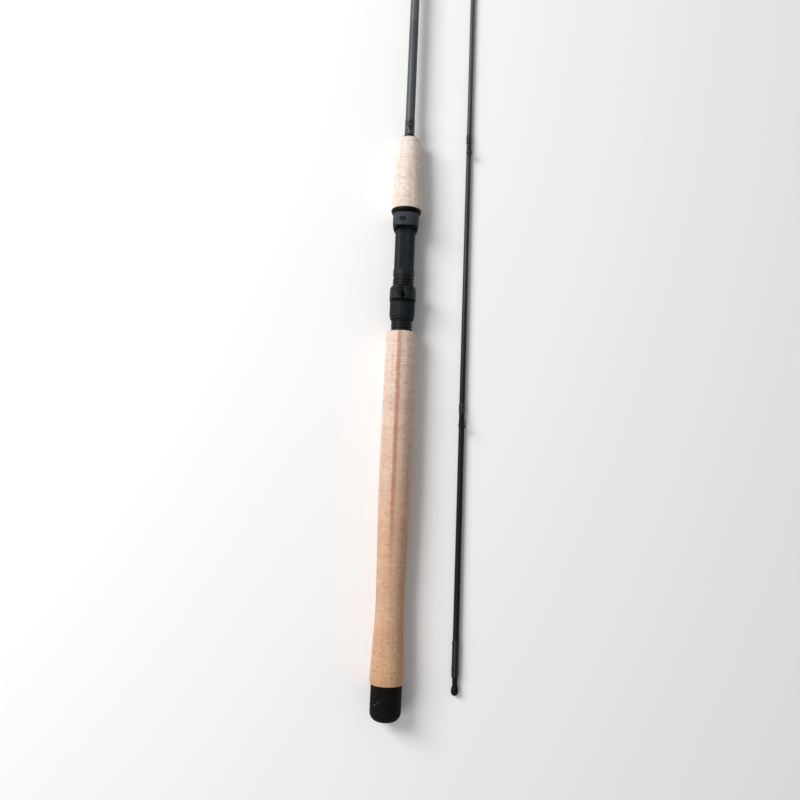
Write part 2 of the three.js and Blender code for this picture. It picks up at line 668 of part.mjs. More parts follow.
/** A foot along the blank with an upright eye at its front end. */
function keeperFoot() {
  const foot = block(
    [-KEEPER.footHalfWidth, KEEPER.footFrom, keeperBase],
    [KEEPER.footHalfWidth, KEEPER.eyeStation, keeperFootTop],
  );
  const disc = (radius, halfWidth) => turnedBar([[-halfWidth, radius], [halfWidth, radius]], 16)
    .rotateZ(Math.PI / 2)
    .translate(0, KEEPER.eyeStation, keeperEyeHeight);
  const eye = disc(KEEPER.eyeRadius, KEEPER.eyeHalfWidth);
  return cut(join(foot, eye), disc(KEEPER.eyeHole, 2 * KEEPER.eyeHalfWidth));
}

/** The loose ring, lying flat towards the tip with its wire through the eye. */
function keeperRing() {
  const ring = new THREE.TorusGeometry(KEEPER.ringRadius, KEEPER.wire, 8, 24);
  return ring.translate(0, KEEPER.eyeStation + KEEPER.ringRadius, keeperEyeHeight);
}

/** The keeper's binding: raised over the foot, cut clear of the eye, and plain beyond it. */
function keeperWrap() {
  const { footHalfWidth: halfWidth, footFrom: from } = KEEPER;
  const hold = { from, to: KEEPER_WRAP.humpTo, halfWidth, top: keeperFootTop };
  const wrap = threadWrap(BUTT_BLANK, KEEPER_WRAP.from, KEEPER_WRAP.to, hold);
  const eyeEnd = KEEPER.eyeStation + KEEPER.eyeRadius + GAP;
  const aboveEye = keeperEyeHeight + 2 * KEEPER.eyeRadius;
  const room = block(
    [-halfWidth - GAP, KEEPER_WRAP.humpTo - GAP, keeperBase - GAP],
    [halfWidth + GAP, eyeEnd, aboveEye],
  );
  return cut(wrap, room);
}

// ---------------------------------------------------------------- butt section

add(buttSection, 'butt_cap', buttCap(), MATERIAL.rubber);
add(buttSection, 'rear_grip', rearGrip(), MATERIAL.cork);
add(buttSection, 'seat_body', seatBody(), MATERIAL.seat);
add(buttSection, 'seat_arbor_rear', arbor(...ARBORS.rear), MATERIAL.foam);
add(buttSection, 'seat_arbor_front', arbor(...ARBORS.front), MATERIAL.foam);
add(buttSection, 'fixed_hood', hoodShell(FIXED_HOOD), MATERIAL.hood);
add(buttSection, 'moving_hood', movingHood(), MATERIAL.hood);
add(buttSection, 'lock_nut', lockNut(), MATERIAL.seat);
add(buttSection, 'collar_ring', collarRing(), MATERIAL.collar);
add(buttSection, 'foregrip', foregrip(), MATERIAL.cork);
add(buttSection, 'winding_check', windingCheck(), MATERIAL.collar);
add(buttSection, 'butt_blank', blankTube(BUTT_BLANK, 20), MATERIAL.graphite);
add(buttSection, 'spigot', spigot(), MATERIAL.graphite);
const buttEndWrap = threadWrap(BUTT_BLANK, BUTT_END_WRAP.from, BUTT_END_WRAP.to);
add(buttSection, 'butt_end_wrap', buttEndWrap, MATERIAL.thread);
add(buttSection, 'keeper_foot', keeperFoot(), MATERIAL.steel);
add(buttSection, 'keeper_ring', keeperRing(), MATERIAL.steel);
add(buttSection, 'keeper_wrap', keeperWrap(), MATERIAL.thread);
BUTT_GUIDES.forEach(addButtGuide);

// ---------------------------------------------------------------- tip section

add(tipSection, 'tip_blank', blankTube(TIP_BLANK, 14), MATERIAL.graphite);
add(tipSection, 'ferrule_socket', ferruleSocket(), MATERIAL.graphite);
add(tipSection, 'socket_wrap', socketWrap(), MATERIAL.thread);
add(tipSection, 'ferrule_plug', ferrulePlug(), MATERIAL.rubber);
RUNNING_GUIDES.forEach((guide, i) => addRunningGuide(guide, i + 1));
addTipTop();

// ---------------------------------------------------------------- laying the sections down

// Each section leans a little, so that the two points it rests on both touch the plane.
const buttLean = Math.atan2(FLARE.radius - COLLAR.radius, COLLAR.shoulderStation - FLARE.station);
buttSection.rotation.x = -buttLean;
buttSection.position.z = FLARE.radius / Math.cos(buttLean) + FLARE.station * Math.tan(buttLean);

const [firstGuide] = RUNNING_GUIDES;
const firstWrapStation = firstGuide.station + firstGuide.ring * RUNNING.legReach + RUNNING.bareFoot;
const firstWrapRadius = blankRadius(TIP_BLANK, firstWrapStation) + GAP + WRAP_THICKNESS;
const tipLean = Math.atan2(firstWrapRadius - TIP_TOP.radius, TIP_TOP.to - firstWrapStation);
tipSection.rotation.set(-tipLean, 0, THREE.MathUtils.degToRad(TIP_SECTION.convergeDegrees), 'ZXY');
tipSection.position.set(
  TIP_SECTION.offset,
  TIP_SECTION.station,
  firstWrapRadius / Math.cos(tipLean) + firstWrapStation * Math.tan(tipLean),
);

const sections = new THREE.Group();
sections.add(buttSection, tipSection);

const rod = new THREE.Group();
rod.add(sections);
rod.updateMatrixWorld(true);
const box = new THREE.Box3().setFromObject(rod, true);
const centre = box.getCenter(new THREE.Vector3());
sections.position.set(-centre.x, -centre.y, -box.min.z);

export default rod;
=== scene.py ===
"""A two-piece spinning rod: its looks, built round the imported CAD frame.

Each section is drawn along +Y from its own lower end, with its reel and guide side facing +Z, in
millimetres. The section's matrix then lays it where the CAD has it. A station is a distance along
the section, and a turn is an angle about its axis: 0 faces +Z and a quarter turn faces +X.
"""

import json
import math

import bpy
import numpy as np
from mathutils import Matrix, Vector


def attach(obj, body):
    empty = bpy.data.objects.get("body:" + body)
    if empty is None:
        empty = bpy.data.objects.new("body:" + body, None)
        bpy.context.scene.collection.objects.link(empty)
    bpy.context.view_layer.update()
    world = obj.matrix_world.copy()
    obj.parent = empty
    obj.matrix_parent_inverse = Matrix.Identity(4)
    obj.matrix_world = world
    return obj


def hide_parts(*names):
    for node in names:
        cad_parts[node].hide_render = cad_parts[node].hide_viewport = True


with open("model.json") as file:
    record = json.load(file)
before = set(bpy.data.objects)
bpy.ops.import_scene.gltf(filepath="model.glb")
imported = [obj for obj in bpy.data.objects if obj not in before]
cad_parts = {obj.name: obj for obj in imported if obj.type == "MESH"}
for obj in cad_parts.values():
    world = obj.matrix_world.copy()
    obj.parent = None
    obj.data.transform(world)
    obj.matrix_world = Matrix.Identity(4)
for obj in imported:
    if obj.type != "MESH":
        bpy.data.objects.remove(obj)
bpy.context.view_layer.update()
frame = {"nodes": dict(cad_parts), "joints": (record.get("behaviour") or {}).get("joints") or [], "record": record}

MM = 0.001
FULL_TURN = 2 * math.pi
PIN = 0.02      # the radius at which a turned outline meets its axis
UNCUT = 99      # farther out than any piece


# ------------------------ the sections' own axes

class Section:
    """One section of the rod: its axes, and what its CAD nodes measure in them, in millimetres."""

    def __init__(self, body, origin, along):
        self.body = body
        y = Vector(along).normalized()
        x = y.cross(Vector((0, 0, 1))).normalized()
        turn = Matrix((x, y, x.cross(y))).transposed().to_4x4()
        self.matrix = Matrix.Translation(origin) @ turn

    def local(self, places):
        """Places of the shared frame, in metres, in the section's own axes."""
        back = np.array(self.matrix.inverted())
        return (np.array(places) @ back[:3, :3].T + back[:3, 3]) / MM

    def points(self, node):
        """The corners of a CAD node."""
        return self.local([v.co for v in frame["nodes"][node].data.vertices])

    def span(self, node):
        """The lowest and highest station of a CAD node."""
        stations = self.points(node)[:, 1]
        return float(stations.min()), float(stations.max())

    def outline(self, node, least):
        """A turned node's stations and its widest radius at each. Its bore is under `least`."""
        points = self.points(node)
        stations = np.round(points[:, 1], 2)
        radii = np.hypot(points[:, 0], points[:, 2])
        levels = np.unique(stations)
        widest = np.array([radii[stations == level].max() for level in levels])
        return levels[widest >= least], widest[widest >= least]


def joint(name):
    return next(j for j in frame["joints"] if j["name"] == name)


def mount(name):
    return next(m for m in frame["record"]["mounts"] if m["name"] == name)


def socket_mouth(along):
    """The middle of the ferrule socket's lower end."""
    corners = [v.co for v in frame["nodes"]["ferrule_socket"].data.vertices]
    lowest = min(corner.dot(along) for corner in corners)
    mouth = [corner for corner in corners if corner.dot(along) < lowest + 0.1 * MM]
    return sum(mouth, Vector()) / len(mouth)


BUTT = Section("butt_section", mount("butt_end")["pos_m"], joint("moving_hood_slide")["axis"])
TIP_AXIS = Vector(joint("tip_section_slide")["axis"])
TIP = Section("tip_section", socket_mouth(TIP_AXIS), TIP_AXIS)
PITCH = frame["record"]["behaviour"]["couplings"][0]["ratio"] * FULL_TURN / MM


def taper(section, node):
    """A blank's radius as a function of the station, from its two ends."""
    stations, radii = section.outline(node, 1.0)
    slope = (radii[-1] - radii[0]) / (stations[-1] - stations[0])
    return lambda station: radii[0] + slope * (station - stations[0])


BUTT_RADIUS = taper(BUTT, "butt_blank")
TIP_RADIUS = taper(TIP, "tip_blank")


# ------------------------ meshes, in millimetres
# A mesh here is (points, faces). Rows are rings of points, and each ring has the same number.

def turns(count):
    return np.arange(count) * FULL_TURN / count


def signed(angles):
    """Turns from half a turn back to half a turn on."""
    return (angles + math.pi) % FULL_TURN - math.pi


def ramp(value, start, length):
    """From 0 to 1 as the value goes on from the start by a length."""
    return np.clip((value - start) / length, 0, 1)


def round_over(share):
    """A quarter round: from 0, steeply, to 1 where the share is 1."""
    return np.sqrt(1 - (1 - np.clip(share, 0, 1)) ** 2)


def rings(stations, radii, angles):
    """Rings about +Y. Each value is one per ring, or one per ring and angle."""
    stations, radii, angles = (np.asarray(a, float) for a in (stations, radii, angles))
    stations = stations[:, None] if stations.ndim == 1 else stations
    radii = radii[:, None] if radii.ndim == 1 else radii
    station, radius, angle = np.broadcast_arrays(stations, radii, angles)
    return np.stack([radius * np.sin(angle), station, radius * np.cos(angle)], axis=-1)


def quads(lower, upper):
    """Faces between two rows, or two lists of rows, of point numbers."""
    around = [lower, np.roll(lower, -1, -1), np.roll(upper, -1, -1), upper]
    return np.stack(around, -1).reshape(-1, 4).tolist()


def loop(rows):
    """A closed mesh whose last ring meets its first."""
    index = np.arange(rows.shape[0] * rows.shape[1]).reshape(rows.shape[:2])
    return rows.reshape(-1, 3), quads(index, np.roll(index, -1, 0))


def bar(rows):
    """A closed mesh with a fan over its first and its last ring."""
    count, around = rows.shape[:2]
    index = np.arange(count * around).reshape(count, around)
    ends = [rows[0].mean(0), rows[-1].mean(0)]
    faces = quads(index[:-1], index[1:])
    first, last = count * around, count * around + 1
    for j in range(around):
        k = (j + 1) % around
        faces.append((first, int(index[0, k]), int(index[0, j])))
        faces.append((last, int(index[-1, j]), int(index[-1, k])))
    return np.vstack([rows.reshape(-1, 3), ends]), faces


def shell(outer, inner, gone=None):
    """A closed wall between two sheets of rings. `gone` marks the cells where it is cut through."""
    count, around = outer.shape[:2]
    out = np.arange(count * around).reshape(count, around)
    into = out + count * around
    kept = np.ones((count - 1, around), bool) if gone is None else ~gone
    out_next, into_next = np.roll(out, -1, 1), np.roll(into, -1, 1)
    outside = np.stack([out[:-1], out_next[:-1], out_next[1:], out[1:]], -1)[kept]
    inside = np.stack([into[:-1], into[1:], into_next[1:], into_next[:-1]], -1)[kept]
    faces = outside.tolist() + inside.tolist()
    faces += [face for face, solid in zip(quads(into[0], out[0]), kept[0]) if solid]
    faces += [face for face, solid in zip(quads(out[-1], into[-1]), kept[-1]) if solid]
    for i, j in zip(*np.nonzero(~kept)):
        k = (j + 1) % around
        sides = [
            (i > 0 and kept[i - 1, j], (i, j), (i, k)),
            (kept[i, k], (i, k), (i + 1, k)),
            (i + 2 < count and kept[i + 1, j], (i + 1, k), (i + 1, j)),
            (kept[i, j - 1], (i + 1, j), (i, j)),
        ]
        for solid, a, b in sides:
            if solid:
                faces.append([int(out[a]), int(out[b]), int(into[b]), int(into[a])])
    return np.vstack([outer.reshape(-1, 3), inner.reshape(-1, 3)]), faces


def together(*meshes):
    """Several meshes as one."""
    points, faces = [], []
    offset = 0
    for some_points, some_faces in meshes:
        points.append(some_points)
        faces += [[i + offset for i in face] for face in some_faces]
        offset += len(some_points)
    return np.vstack(points), faces


def rounded(corners, fillet):
    """A closed outline of (station, radius) corners, each with a fillet."""
    corners = [np.array(c, float) for c in corners]
    outline = []
    for i, corner in enumerate(corners):
        ends = []
        for other in (corners[i - 1], corners[(i + 1) % len(corners)]):
            gap = np.linalg.norm(other - corner)
            ends.append(corner + (other - corner) / gap * min(fillet, gap / 2.01))
        for t in np.linspace(0, 1, 5):
            outline.append((1 - t) ** 2 * ends[0] + 2 * t * (1 - t) * corner + t ** 2 * ends[1])
    return np.array(outline)


def turned(corners, fillet, count):
    """A turned ring: its closed outline goes up the outside and down the bore."""
    outline = rounded(corners, fillet)
    return loop(rings(outline[:, 0], outline[:, 1], turns(count)))


def lathed(outline, count):
    """A solid turned from (station, radius) points that start and end on its axis."""
    outline = np.array(outline)
    return bar(rings(outline[:, 0], outline[:, 1], turns(count)))


def hoop(radius, thickness, count):
    """A ring of round wire about +Y, `thickness` being the wire's radius."""
    t = turns(16)[::-1]
    return loop(rings(thickness * np.sin(t), radius + thickness * np.cos(t), turns(count)))


def quarter(start, end, steps, rising):
    """A quarter round between two (station, radius) points, bulging away from the axis."""
    t = np.linspace(0, math.pi / 2, steps + 1)
    shares = (1 - np.cos(t), np.sin(t)) if rising else (np.sin(t), 1 - np.cos(t))
    return np.stack([a + (b - a) * share for a, b, share in zip(start, end, shares)], 1)


def ladder(low, high, step, dense=(), dense_step=0.12, dense_width=1.0):
    """Stations from low to high, closer together around the dense ones."""
    stations = [low, high, *np.arange(low, high, step)]
    for middle in dense:
        near = np.arange(middle - dense_width, middle + dense_width, dense_step)
        stations += [s for s in near if low < s < high]
    return np.unique(np.round(stations, 3))


def spline(points, steps):
    """A smooth line through points, the same number of steps between each two."""
    p = np.array(points, float)
    p = np.vstack([2 * p[0] - p[1], p, 2 * p[-1] - p[-2]])
    t = np.linspace(0, 1, steps, endpoint=False)[:, None]
    line = []
    for a, b, c, d in zip(p, p[1:], p[2:], p[3:]):
        line.append(0.5 * (2 * b + (c - a) * t + (2 * a - 5 * b + 4 * c - d) * t ** 2
                           + (3 * b - a - 3 * c + d) * t ** 3))
    return np.vstack([*line, p[-2:-1]])


DOME = ((0.5, 0.8), (0.8, 0.4))     # a wire's domed end: how far on each ring is, and its size


def wire(points, radius, steps=8, count=14):
    """A round wire with domed ends on a smooth line."""
    line = spline(points, steps)
    ahead = np.gradient(line, axis=0)
    ahead /= np.linalg.norm(ahead, axis=1)[:, None]
    side = np.cross(ahead[0], (0.3, 0.2, 0.9))
    angle = turns(count)[:, None]
    rows = []
    for i, (point, way) in enumerate(zip(line, ahead)):
        side = side - way * side.dot(way)
        side /= np.linalg.norm(side)
        ring = radius * (np.cos(angle) * side + np.sin(angle) * np.cross(way, side))
        if i == 0:
            rows += [point - way * radius * on + ring * size for on, size in DOME[::-1]]
        rows.append(point + ring)
        if i == len(line) - 1:
            rows += [point + way * radius * on + ring * size for on, size in DOME]
    return bar(np.array(rows))


def block(low, high, edge):
    """A block between two corners, lying along Y. `edge` is the radius of its edges."""
    low, high = np.array(low, float), np.array(high, float)
    middle, half = (low + high) / 2, (high - low) / 2
    turn = (np.arange(4)[:, None] * math.pi / 2 + np.linspace(0, math.pi / 2, 5)).ravel()
    side, top = np.repeat((1, 1, -1, -1), 5), np.repeat((1, -1, -1, 1), 5)
    around = np.stack([side * (half[0] - edge) + edge * np.sin(turn),
                       top * (half[2] - edge) + edge * np.cos(turn)], 1)
    rows = []
    for t in np.linspace(-1, 1, 9):
        past = max(0.0, abs(t) * 2 - 1)
        y = np.clip(2 * t, -1, 1) * (half[1] - edge) + np.sign(t) * edge * past
        shrunk = around - np.sign(around) * edge * (1 - math.sqrt(1 - past ** 2))
        rows.append(np.stack([shrunk[:, 0], np.full(len(around), y), shrunk[:, 1]], 1) + middle)
    return bar(np.array(rows))


def leaned(mesh, degrees, centre, axis="X"):
    """A mesh turned about an axis and moved."""
    points, faces = mesh
    turn = np.array(Matrix.Rotation(math.radians(degrees), 3, axis))
    return points @ turn.T + np.array(centre), faces


def added(name, data):
    """A new object in the scene."""
    made = bpy.data.objects.new(name, data)
    bpy.context.scene.collection.objects.link(made)
    return made


def fused(mesh, grain, passes=4):
    """Overlapping closed meshes melted into one skin, with small fillets where they meet."""
    piece = added("fusing", bpy.data.meshes.new("fusing"))
    piece.data.from_pydata(mesh[0].tolist(), [], mesh[1])
    skin = piece.modifiers.new("skin", "REMESH")
    skin.mode = "VOXEL"
    skin.voxel_size = grain
    smooth = piece.modifiers.new("smooth", "SMOOTH")
    smooth.iterations = passes
    smooth.factor = 0.5
    melted = piece.evaluated_get(bpy.context.evaluated_depsgraph_get())
    result = bpy.data.meshes.new_from_object(melted)
    points = np.array([v.co for v in result.vertices])
    faces = [list(p.vertices) for p in result.polygons]
    bpy.data.objects.remove(piece)
    bpy.data.meshes.remove(result)
    return points, faces


# ------------------------ solids by distance
# A distance is negative inside its solid. cast() finds where rays from the axis leave the solid.

def soft_least(a, b, blend):
    """The nearer of two solids, joined with a fillet."""
    h = np.clip(0.5 + 0.5 * (b - a) / blend, 0, 1)
    return b * (1 - h) + a * h - blend * h * (1 - h)


def bar_distance(x, z, half_width, low, high, corner):
    """A bar along Y with rounded corners, between two heights."""
    qx = np.abs(x) - half_width + corner
    qz = np.abs(z - (low + high) / 2) - (high - low) / 2 + corner
    outside = np.hypot(np.maximum(qx, 0), np.maximum(qz, 0))
    return outside + np.minimum(np.maximum(qx, qz), 0) - corner


def cast(distance, stations, angles, reach=20.0):
    """How far from the axis a solid ends, at each station and turn."""
    angle, station = np.meshgrid(angles, stations) if np.ndim(angles) == 1 else (angles, stations)
    low, high = np.zeros(angle.shape), np.full(angle.shape, reach)
    for _ in range(22):
        middle = (low + high) / 2
        inside = distance(middle * np.sin(angle), station, middle * np.cos(angle)) < 0
        low, high = np.where(inside, middle, low), np.where(inside, high, middle)
    return low


# ------------------------ placing pieces

def place(node, mesh, material, section, body=None, sharp=35, values=None):
    """Makes the fine piece that stands for a CAD node."""
    points, faces = mesh
    data = bpy.data.meshes.new(node + "_fine")
    data.from_pydata((points * MM).tolist(), [], faces)
    data.shade_smooth()
    data.set_sharp_from_angle(angle=math.radians(sharp))
    for name, per_point in (values or {}).items():
        values_of = data.attributes.new(name, "FLOAT", "POINT").data
        values_of.foreach_set("value", per_point.astype(np.float32))
    data.materials.append(material)
    piece = added(node + "_fine", data)
    piece.matrix_world = section.matrix
    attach(piece, body or section.body)
    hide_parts(node)
    return piece


# ------------------------ materials

class Finish:
    """A material on the section's own coordinates, in millimetres, with one Principled shader."""

    def __init__(self, name, roughness, **sockets):
        self.material = bpy.data.materials.new(name)
        self.material.use_nodes = True
        self.tree = self.material.node_tree
        self.shader = self.tree.nodes["Principled BSDF"]
        self.shader.inputs["Roughness"].default_value = roughness
        for socket, value in sockets.items():
            label = socket.replace("_", " ").title().replace("Ior", "IOR")
            self.shader.inputs[label].default_value = value
        where = self.node("ShaderNodeTexCoord").outputs["Object"]
        scaled = self.node("ShaderNodeVectorMath", {0: where, 3: 1 / MM}, operation="SCALE")
        self.place = scaled.outputs[0]
        parts = self.node("ShaderNodeSeparateXYZ", {0: self.place})
        self.x, self.y, self.z = parts.outputs
        self.normal = None

    def node(self, kind, inputs=(), **settings):
        made = self.tree.nodes.new(kind)
        for name, value in settings.items():
            setattr(made, name, value)
        for name, value in dict(inputs).items():
            if isinstance(value, bpy.types.NodeSocket):
                self.tree.links.new(value, made.inputs[name])
            else:
                made.inputs[name].default_value = value
        return made

    def math(self, operation, a, b=0.0):
        return self.node("ShaderNodeMath", {0: a, 1: b}, operation=operation).outputs[0]

    def noise(self, scale, detail=3.0, stretch=(1, 1, 1), layer=None, rough=0.5):
        """Noise from 0 to 1. Each `layer` number gives another pattern."""
        where = self.node("ShaderNodeVectorMath", {0: self.place, 1: stretch}, operation="MULTIPLY")
        inputs = {"Vector": where.outputs[0], "Scale": scale, "Detail": detail, "Roughness": rough}
        if layer is not None:
            inputs["W"] = layer
        dimensions = "3D" if layer is None else "4D"
        return self.node("ShaderNodeTexNoise", inputs, noise_dimensions=dimensions).outputs[0]

    def cells(self, scale):
        """The distance from the middle of the nearest cell, and the cell's own random colour."""
        made = self.node("ShaderNodeTexVoronoi", {"Vector": self.place, "Scale": scale})
        shades = self.node("ShaderNodeSeparateColor", {0: made.outputs["Color"]})
        return made.outputs["Distance"], shades.outputs

    def attribute(self, name):
        return self.node("ShaderNodeAttribute", attribute_name=name).outputs["Fac"]

    def fade(self, value, low, high, start=0.0, end=1.0):
        """From start to end as the value goes from low to high."""
        inputs = {"Value": value, "From Min": low, "From Max": high, "To Min": start, "To Max": end}
        return self.node("ShaderNodeMapRange", inputs, interpolation_type="SMOOTHSTEP").outputs[0]

    def mix(self, factor, a, b, blend="MIX"):
        inputs = {0: factor, 6: a, 7: b}
        return self.node("ShaderNodeMix", inputs, data_type="RGBA", blend_type=blend).outputs[2]

    def between(self, value, low, high, color, other):
        """From one colour to another as the value goes from low to high."""
        return self.mix(self.fade(value, low, high), tone(color), tone(other))

    def stain(self, base, value, low, high, depth, color, blend="MIX"):
        """A colour laid over the base, up to `depth` as the value goes from low to high."""
        return self.mix(self.fade(value, low, high, 0.0, depth), base, tone(color), blend)

    def along(self, tones):
        """A colour that changes along the section. `tones` is a list of stations and colours."""
        base = tone(tones[0][1])
        for (before, _), (at, color) in zip(tones, tones[1:]):
            base = self.mix(self.fade(self.y, before, at), base, tone(color))
        return base

    def bump(self, height, depth):
        """Adds relief, `depth` in millimetres for a height of 1."""
        inputs = {"Height": height, "Distance": depth * MM}
        if self.normal is not None:
            inputs["Normal"] = self.normal
        self.normal = self.node("ShaderNodeBump", inputs).outputs[0]
        self.tree.links.new(self.normal, self.shader.inputs["Normal"])

    def color(self, value):
        self.tree.links.new(value, self.shader.inputs["Base Color"])

    def rough(self, value, least, most, high=0.7):
        """Roughness from least to most as the value goes from 0.3 to `high`."""
        faded = self.fade(value, 0.3, high, least, most)
        self.tree.links.new(faded, self.shader.inputs["Roughness"])


def tone(hex_color):
    """An sRGB colour as linear light."""
    channels = [int(hex_color[i:i + 2], 16) / 255 for i in (0, 2, 4)]
    return (*(c / 12.92 if c <= 0.04045 else ((c + 0.055) / 1.055) ** 2.4 for c in channels), 1.0)


def cork(name, start, tones, shade_streak=None):
    """Cork rings glued end to end, each with its tone, fine growth lines, flecks and open pits, and where given a
    streak of painted shade down its top.
    """
    f = Finish(name, 0.85, specular_ior_level=0.2)
    place_in_rings = f.math("DIVIDE", f.math("SUBTRACT", f.y, start), CORK_RING)
    number = f.math("FLOOR", place_in_rings)
    ring_tone = f.node("ShaderNodeTexWhiteNoise", {"W": number}, noise_dimensions="1D").outputs[0]
    layer = f.math("MULTIPLY", number, 3.7)
    base = f.stain(f.along(tones), ring_tone, 0.0, 1.0, 0.10, "B98A68", "MULTIPLY")
    lines = f.noise(1.1, 5, (0.07, 2.2, 0.07), layer, 0.7)
    base = f.stain(base, lines, 0.52, 0.80, 0.50, "A87B5C")
    base = f.stain(base, lines, 0.47, 0.25, 0.40, "F6EADD")
    hairs = f.noise(1.4, 4, (0.12, 5.0, 0.12), layer, 0.6)
    base = f.stain(base, hairs, 0.52, 0.70, 0.5, "A67F66")
    patches = f.noise(0.11, 3, (1, 1.6, 1), layer, 0.6)
    base = f.stain(base, patches, 0.50, 0.66, 0.14, "C9977B", "MULTIPLY")
    base = f.stain(base, patches, 0.48, 0.34, 0.14, "F0DEC6")
    mottle = f.noise(0.35, 4, (1, 1, 1), layer)
    base = f.stain(base, mottle, 0.45, 0.72, 0.38, "B9906F")
    fleck = f.fade(f.noise(1.3, 3, (0.35, 2.6, 0.35), layer), 0.63, 0.72)
    base = f.mix(f.math("MULTIPLY", fleck, 0.6), base, tone("7A553C"))
    edge = f.math("ABSOLUTE", f.math("SUBTRACT", f.math("FRACT", place_in_rings), 0.5))
    base = f.stain(base, edge, 0.5 - 0.22 / CORK_RING, 0.5, 0.12, "7A5740")
    bands = f.noise(0.30, 3, (1, 0.012, 1))
    base = f.stain(base, bands, 0.40, 0.66, 0.22, "CFA98F", "MULTIPLY")
    # Painted shade: a darker streak down the top of the grip, where shade falls between two lights.
    if shade_streak:
        wander = f.math("MULTIPLY", f.math("SUBTRACT", f.noise(0.05, 2, (0.2, 1, 0.2)), 0.5), 2.0)
        beside = f.math("ABSOLUTE", f.math("SUBTRACT", f.math("ADD", f.x, wander), shade_streak["at"]))
        across = f.fade(beside, shade_streak["half_width"], 0.9)
        along = f.fade(f.y, shade_streak["from"], shade_streak["to"])
        strength = f.math("MULTIPLY", f.math("MULTIPLY", across, f.fade(f.z, 2.0, 6.0)), along)
        strength = f.math("MULTIPLY", strength, shade_streak["depth"])
        base = f.mix(strength, base, tone(shade_streak["color"]), "MULTIPLY")
    f.color(f.stain(base, f.attribute("pit"), 0.2, 0.8, 0.75, "4A3022"))
    f.rough(f.noise(0.8, 2), 0.76, 0.92)
    f.bump(fleck, -0.08)
    f.bump(lines, 0.04)
    f.bump(hairs, 0.03)
    f.bump(f.noise(6.0, 2), 0.03)
    return f.material


def composite():
    """Ground cork bound in black rubber: dark grains of several tones, with a few pale ones."""
    f = Finish("black_composite", 0.8, specular_ior_level=0.12)
    distance, shades = f.cells(1.5)
    base = f.between(shades[0], 0.2, 0.9, "020202", "0D0C0A")
    base = f.stain(base, shades[0], 0.93, 0.96, 0.35, "4A3B2C")
    sparse_distance, sparse_shades = f.cells(0.42)
    chosen = f.fade(sparse_shades[1], 0.88, 0.90)
    pale = f.math("MULTIPLY", f.fade(sparse_distance, 0.20, 0.08), chosen)
    f.color(f.mix(f.math("MULTIPLY", pale, 0.85), base, tone("B8AA90")))
    f.rough(f.noise(1.4, 3), 0.62, 0.9)
    f.bump(distance, 0.10)
    f.bump(f.noise(3.5, 3), 0.05)
    return f.material


def lacquered(name, tones, worn, coat, coat_to=None):
    """A clear-coated graphite blank with the faint spiral that its winding tape leaves. Beyond `coat_to`, where an
    arch ends it, and on its underside, it is half way to a paler bare grey."""
    f = Finish(name, 0.4, metallic=0.1, specular_ior_level=0.2, coat_weight=coat,
               coat_roughness=0.3)
    round_turn = f.math("DIVIDE", f.math("ARCTAN2", f.x, f.z), FULL_TURN)
    spiral = f.math("FRACT", f.math("SUBTRACT", f.math("DIVIDE", f.y, 7.0), round_turn))
    ridge = f.math("ABSOLUTE", f.math("SUBTRACT", spiral, 0.5))
    fibres = f.noise(1.2, 4, (1.2, 0.05, 1.2))
    base = f.stain(f.along(tones), fibres, 0.3, 0.7, 0.3, worn)
    if coat_to is not None:
        arch = f.math("ADD", f.y, f.math("MULTIPLY", f.math("MULTIPLY", f.x, f.x), ARCH_DROP))
        beyond, under = f.fade(arch, coat_to - 0.3, coat_to + 0.3), f.fade(f.z, 0.4, -0.4)
        bare = f.math("MULTIPLY", f.math("MAXIMUM", beyond, under), 0.5)
        base = f.mix(bare, base, tone("5F6A68"))
    f.color(base)
    f.rough(f.noise(0.25, 4, (1, 0.15, 1)), 0.34, 0.5, 0.75)
    f.bump(f.fade(ridge, 0.46, 0.5), 0.012)
    f.bump(fibres, 0.006)
    return f.material


def moulded(name, color, light, roughness, grain=0.02, level=0.45):
    """A moulded plastic with a fine spark-eroded grain, rubbed a little brighter in places."""
    f = Finish(name, roughness, specular_ior_level=level)
    base = f.between(f.noise(0.22, 4, (1, 0.6, 1)), 0.4, 0.75, color, light)
    # The mark attribute darkens towards near-black: the fixed hood's oval and mouth, and painted shade in the
    # thread valleys, the moving hood's grooves and inside both hoods.
    f.color(f.stain(base, f.attribute("mark"), 0.1, 0.9, 0.95, "030506"))
    f.rough(f.noise(0.7, 3), roughness - 0.06, roughness + 0.08)
    f.bump(f.noise(7.0, 2), grain)
    f.bump(f.noise(0.5, 2), 0.02)
    return f.material


def wound(name, color, light):
    """Thread wound on under clear epoxy. The turns themselves are in the mesh."""
    f = Finish(name, 0.4, coat_weight=0.3, coat_roughness=0.15, specular_ior_level=0.3)
    strands = f.noise(5.0, 2, (1, 3, 1))
    f.color(f.between(strands, 0.35, 0.7, color, light))
    f.rough(strands, 0.3, 0.5)
    f.bump(f.noise(0.45, 2), 0.05)
    return f.material


def coated_metal():
    """Black coated steel, with the coat thinned to a brighter metal here and there."""
    f = Finish("guide_steel", 0.3, metallic=0.75, specular_ior_level=0.5)
    f.color(f.between(f.noise(0.8, 5, rough=0.7), 0.5, 0.75, "17181A", "34373B"))
    f.rough(f.noise(2.0, 3), 0.22, 0.4)
    f.bump(f.noise(5.0, 2), 0.008)
    return f.material


def polished():
    """Polished ceramic with a faint cloudiness."""
    f = Finish("guide_ceramic", 0.12, specular_ior_level=0.6, coat_weight=0.4, coat_roughness=0.05)
    f.color(f.between(f.noise(0.9, 3), 0.35, 0.7, "0E0F11", "1B1D20"))
    f.rough(f.noise(3.0, 3), 0.08, 0.18)
    f.bump(f.noise(4.0, 2), 0.003)
    return f.material


def cellular():
    """Open foam."""
    f = Finish("foam", 0.92)
    distance, _ = f.cells(1.6)
    f.color(f.between(distance, 0.1, 0.6, "8E8672", "D8D2C0"))
    f.bump(distance, 0.2)
    return f.material


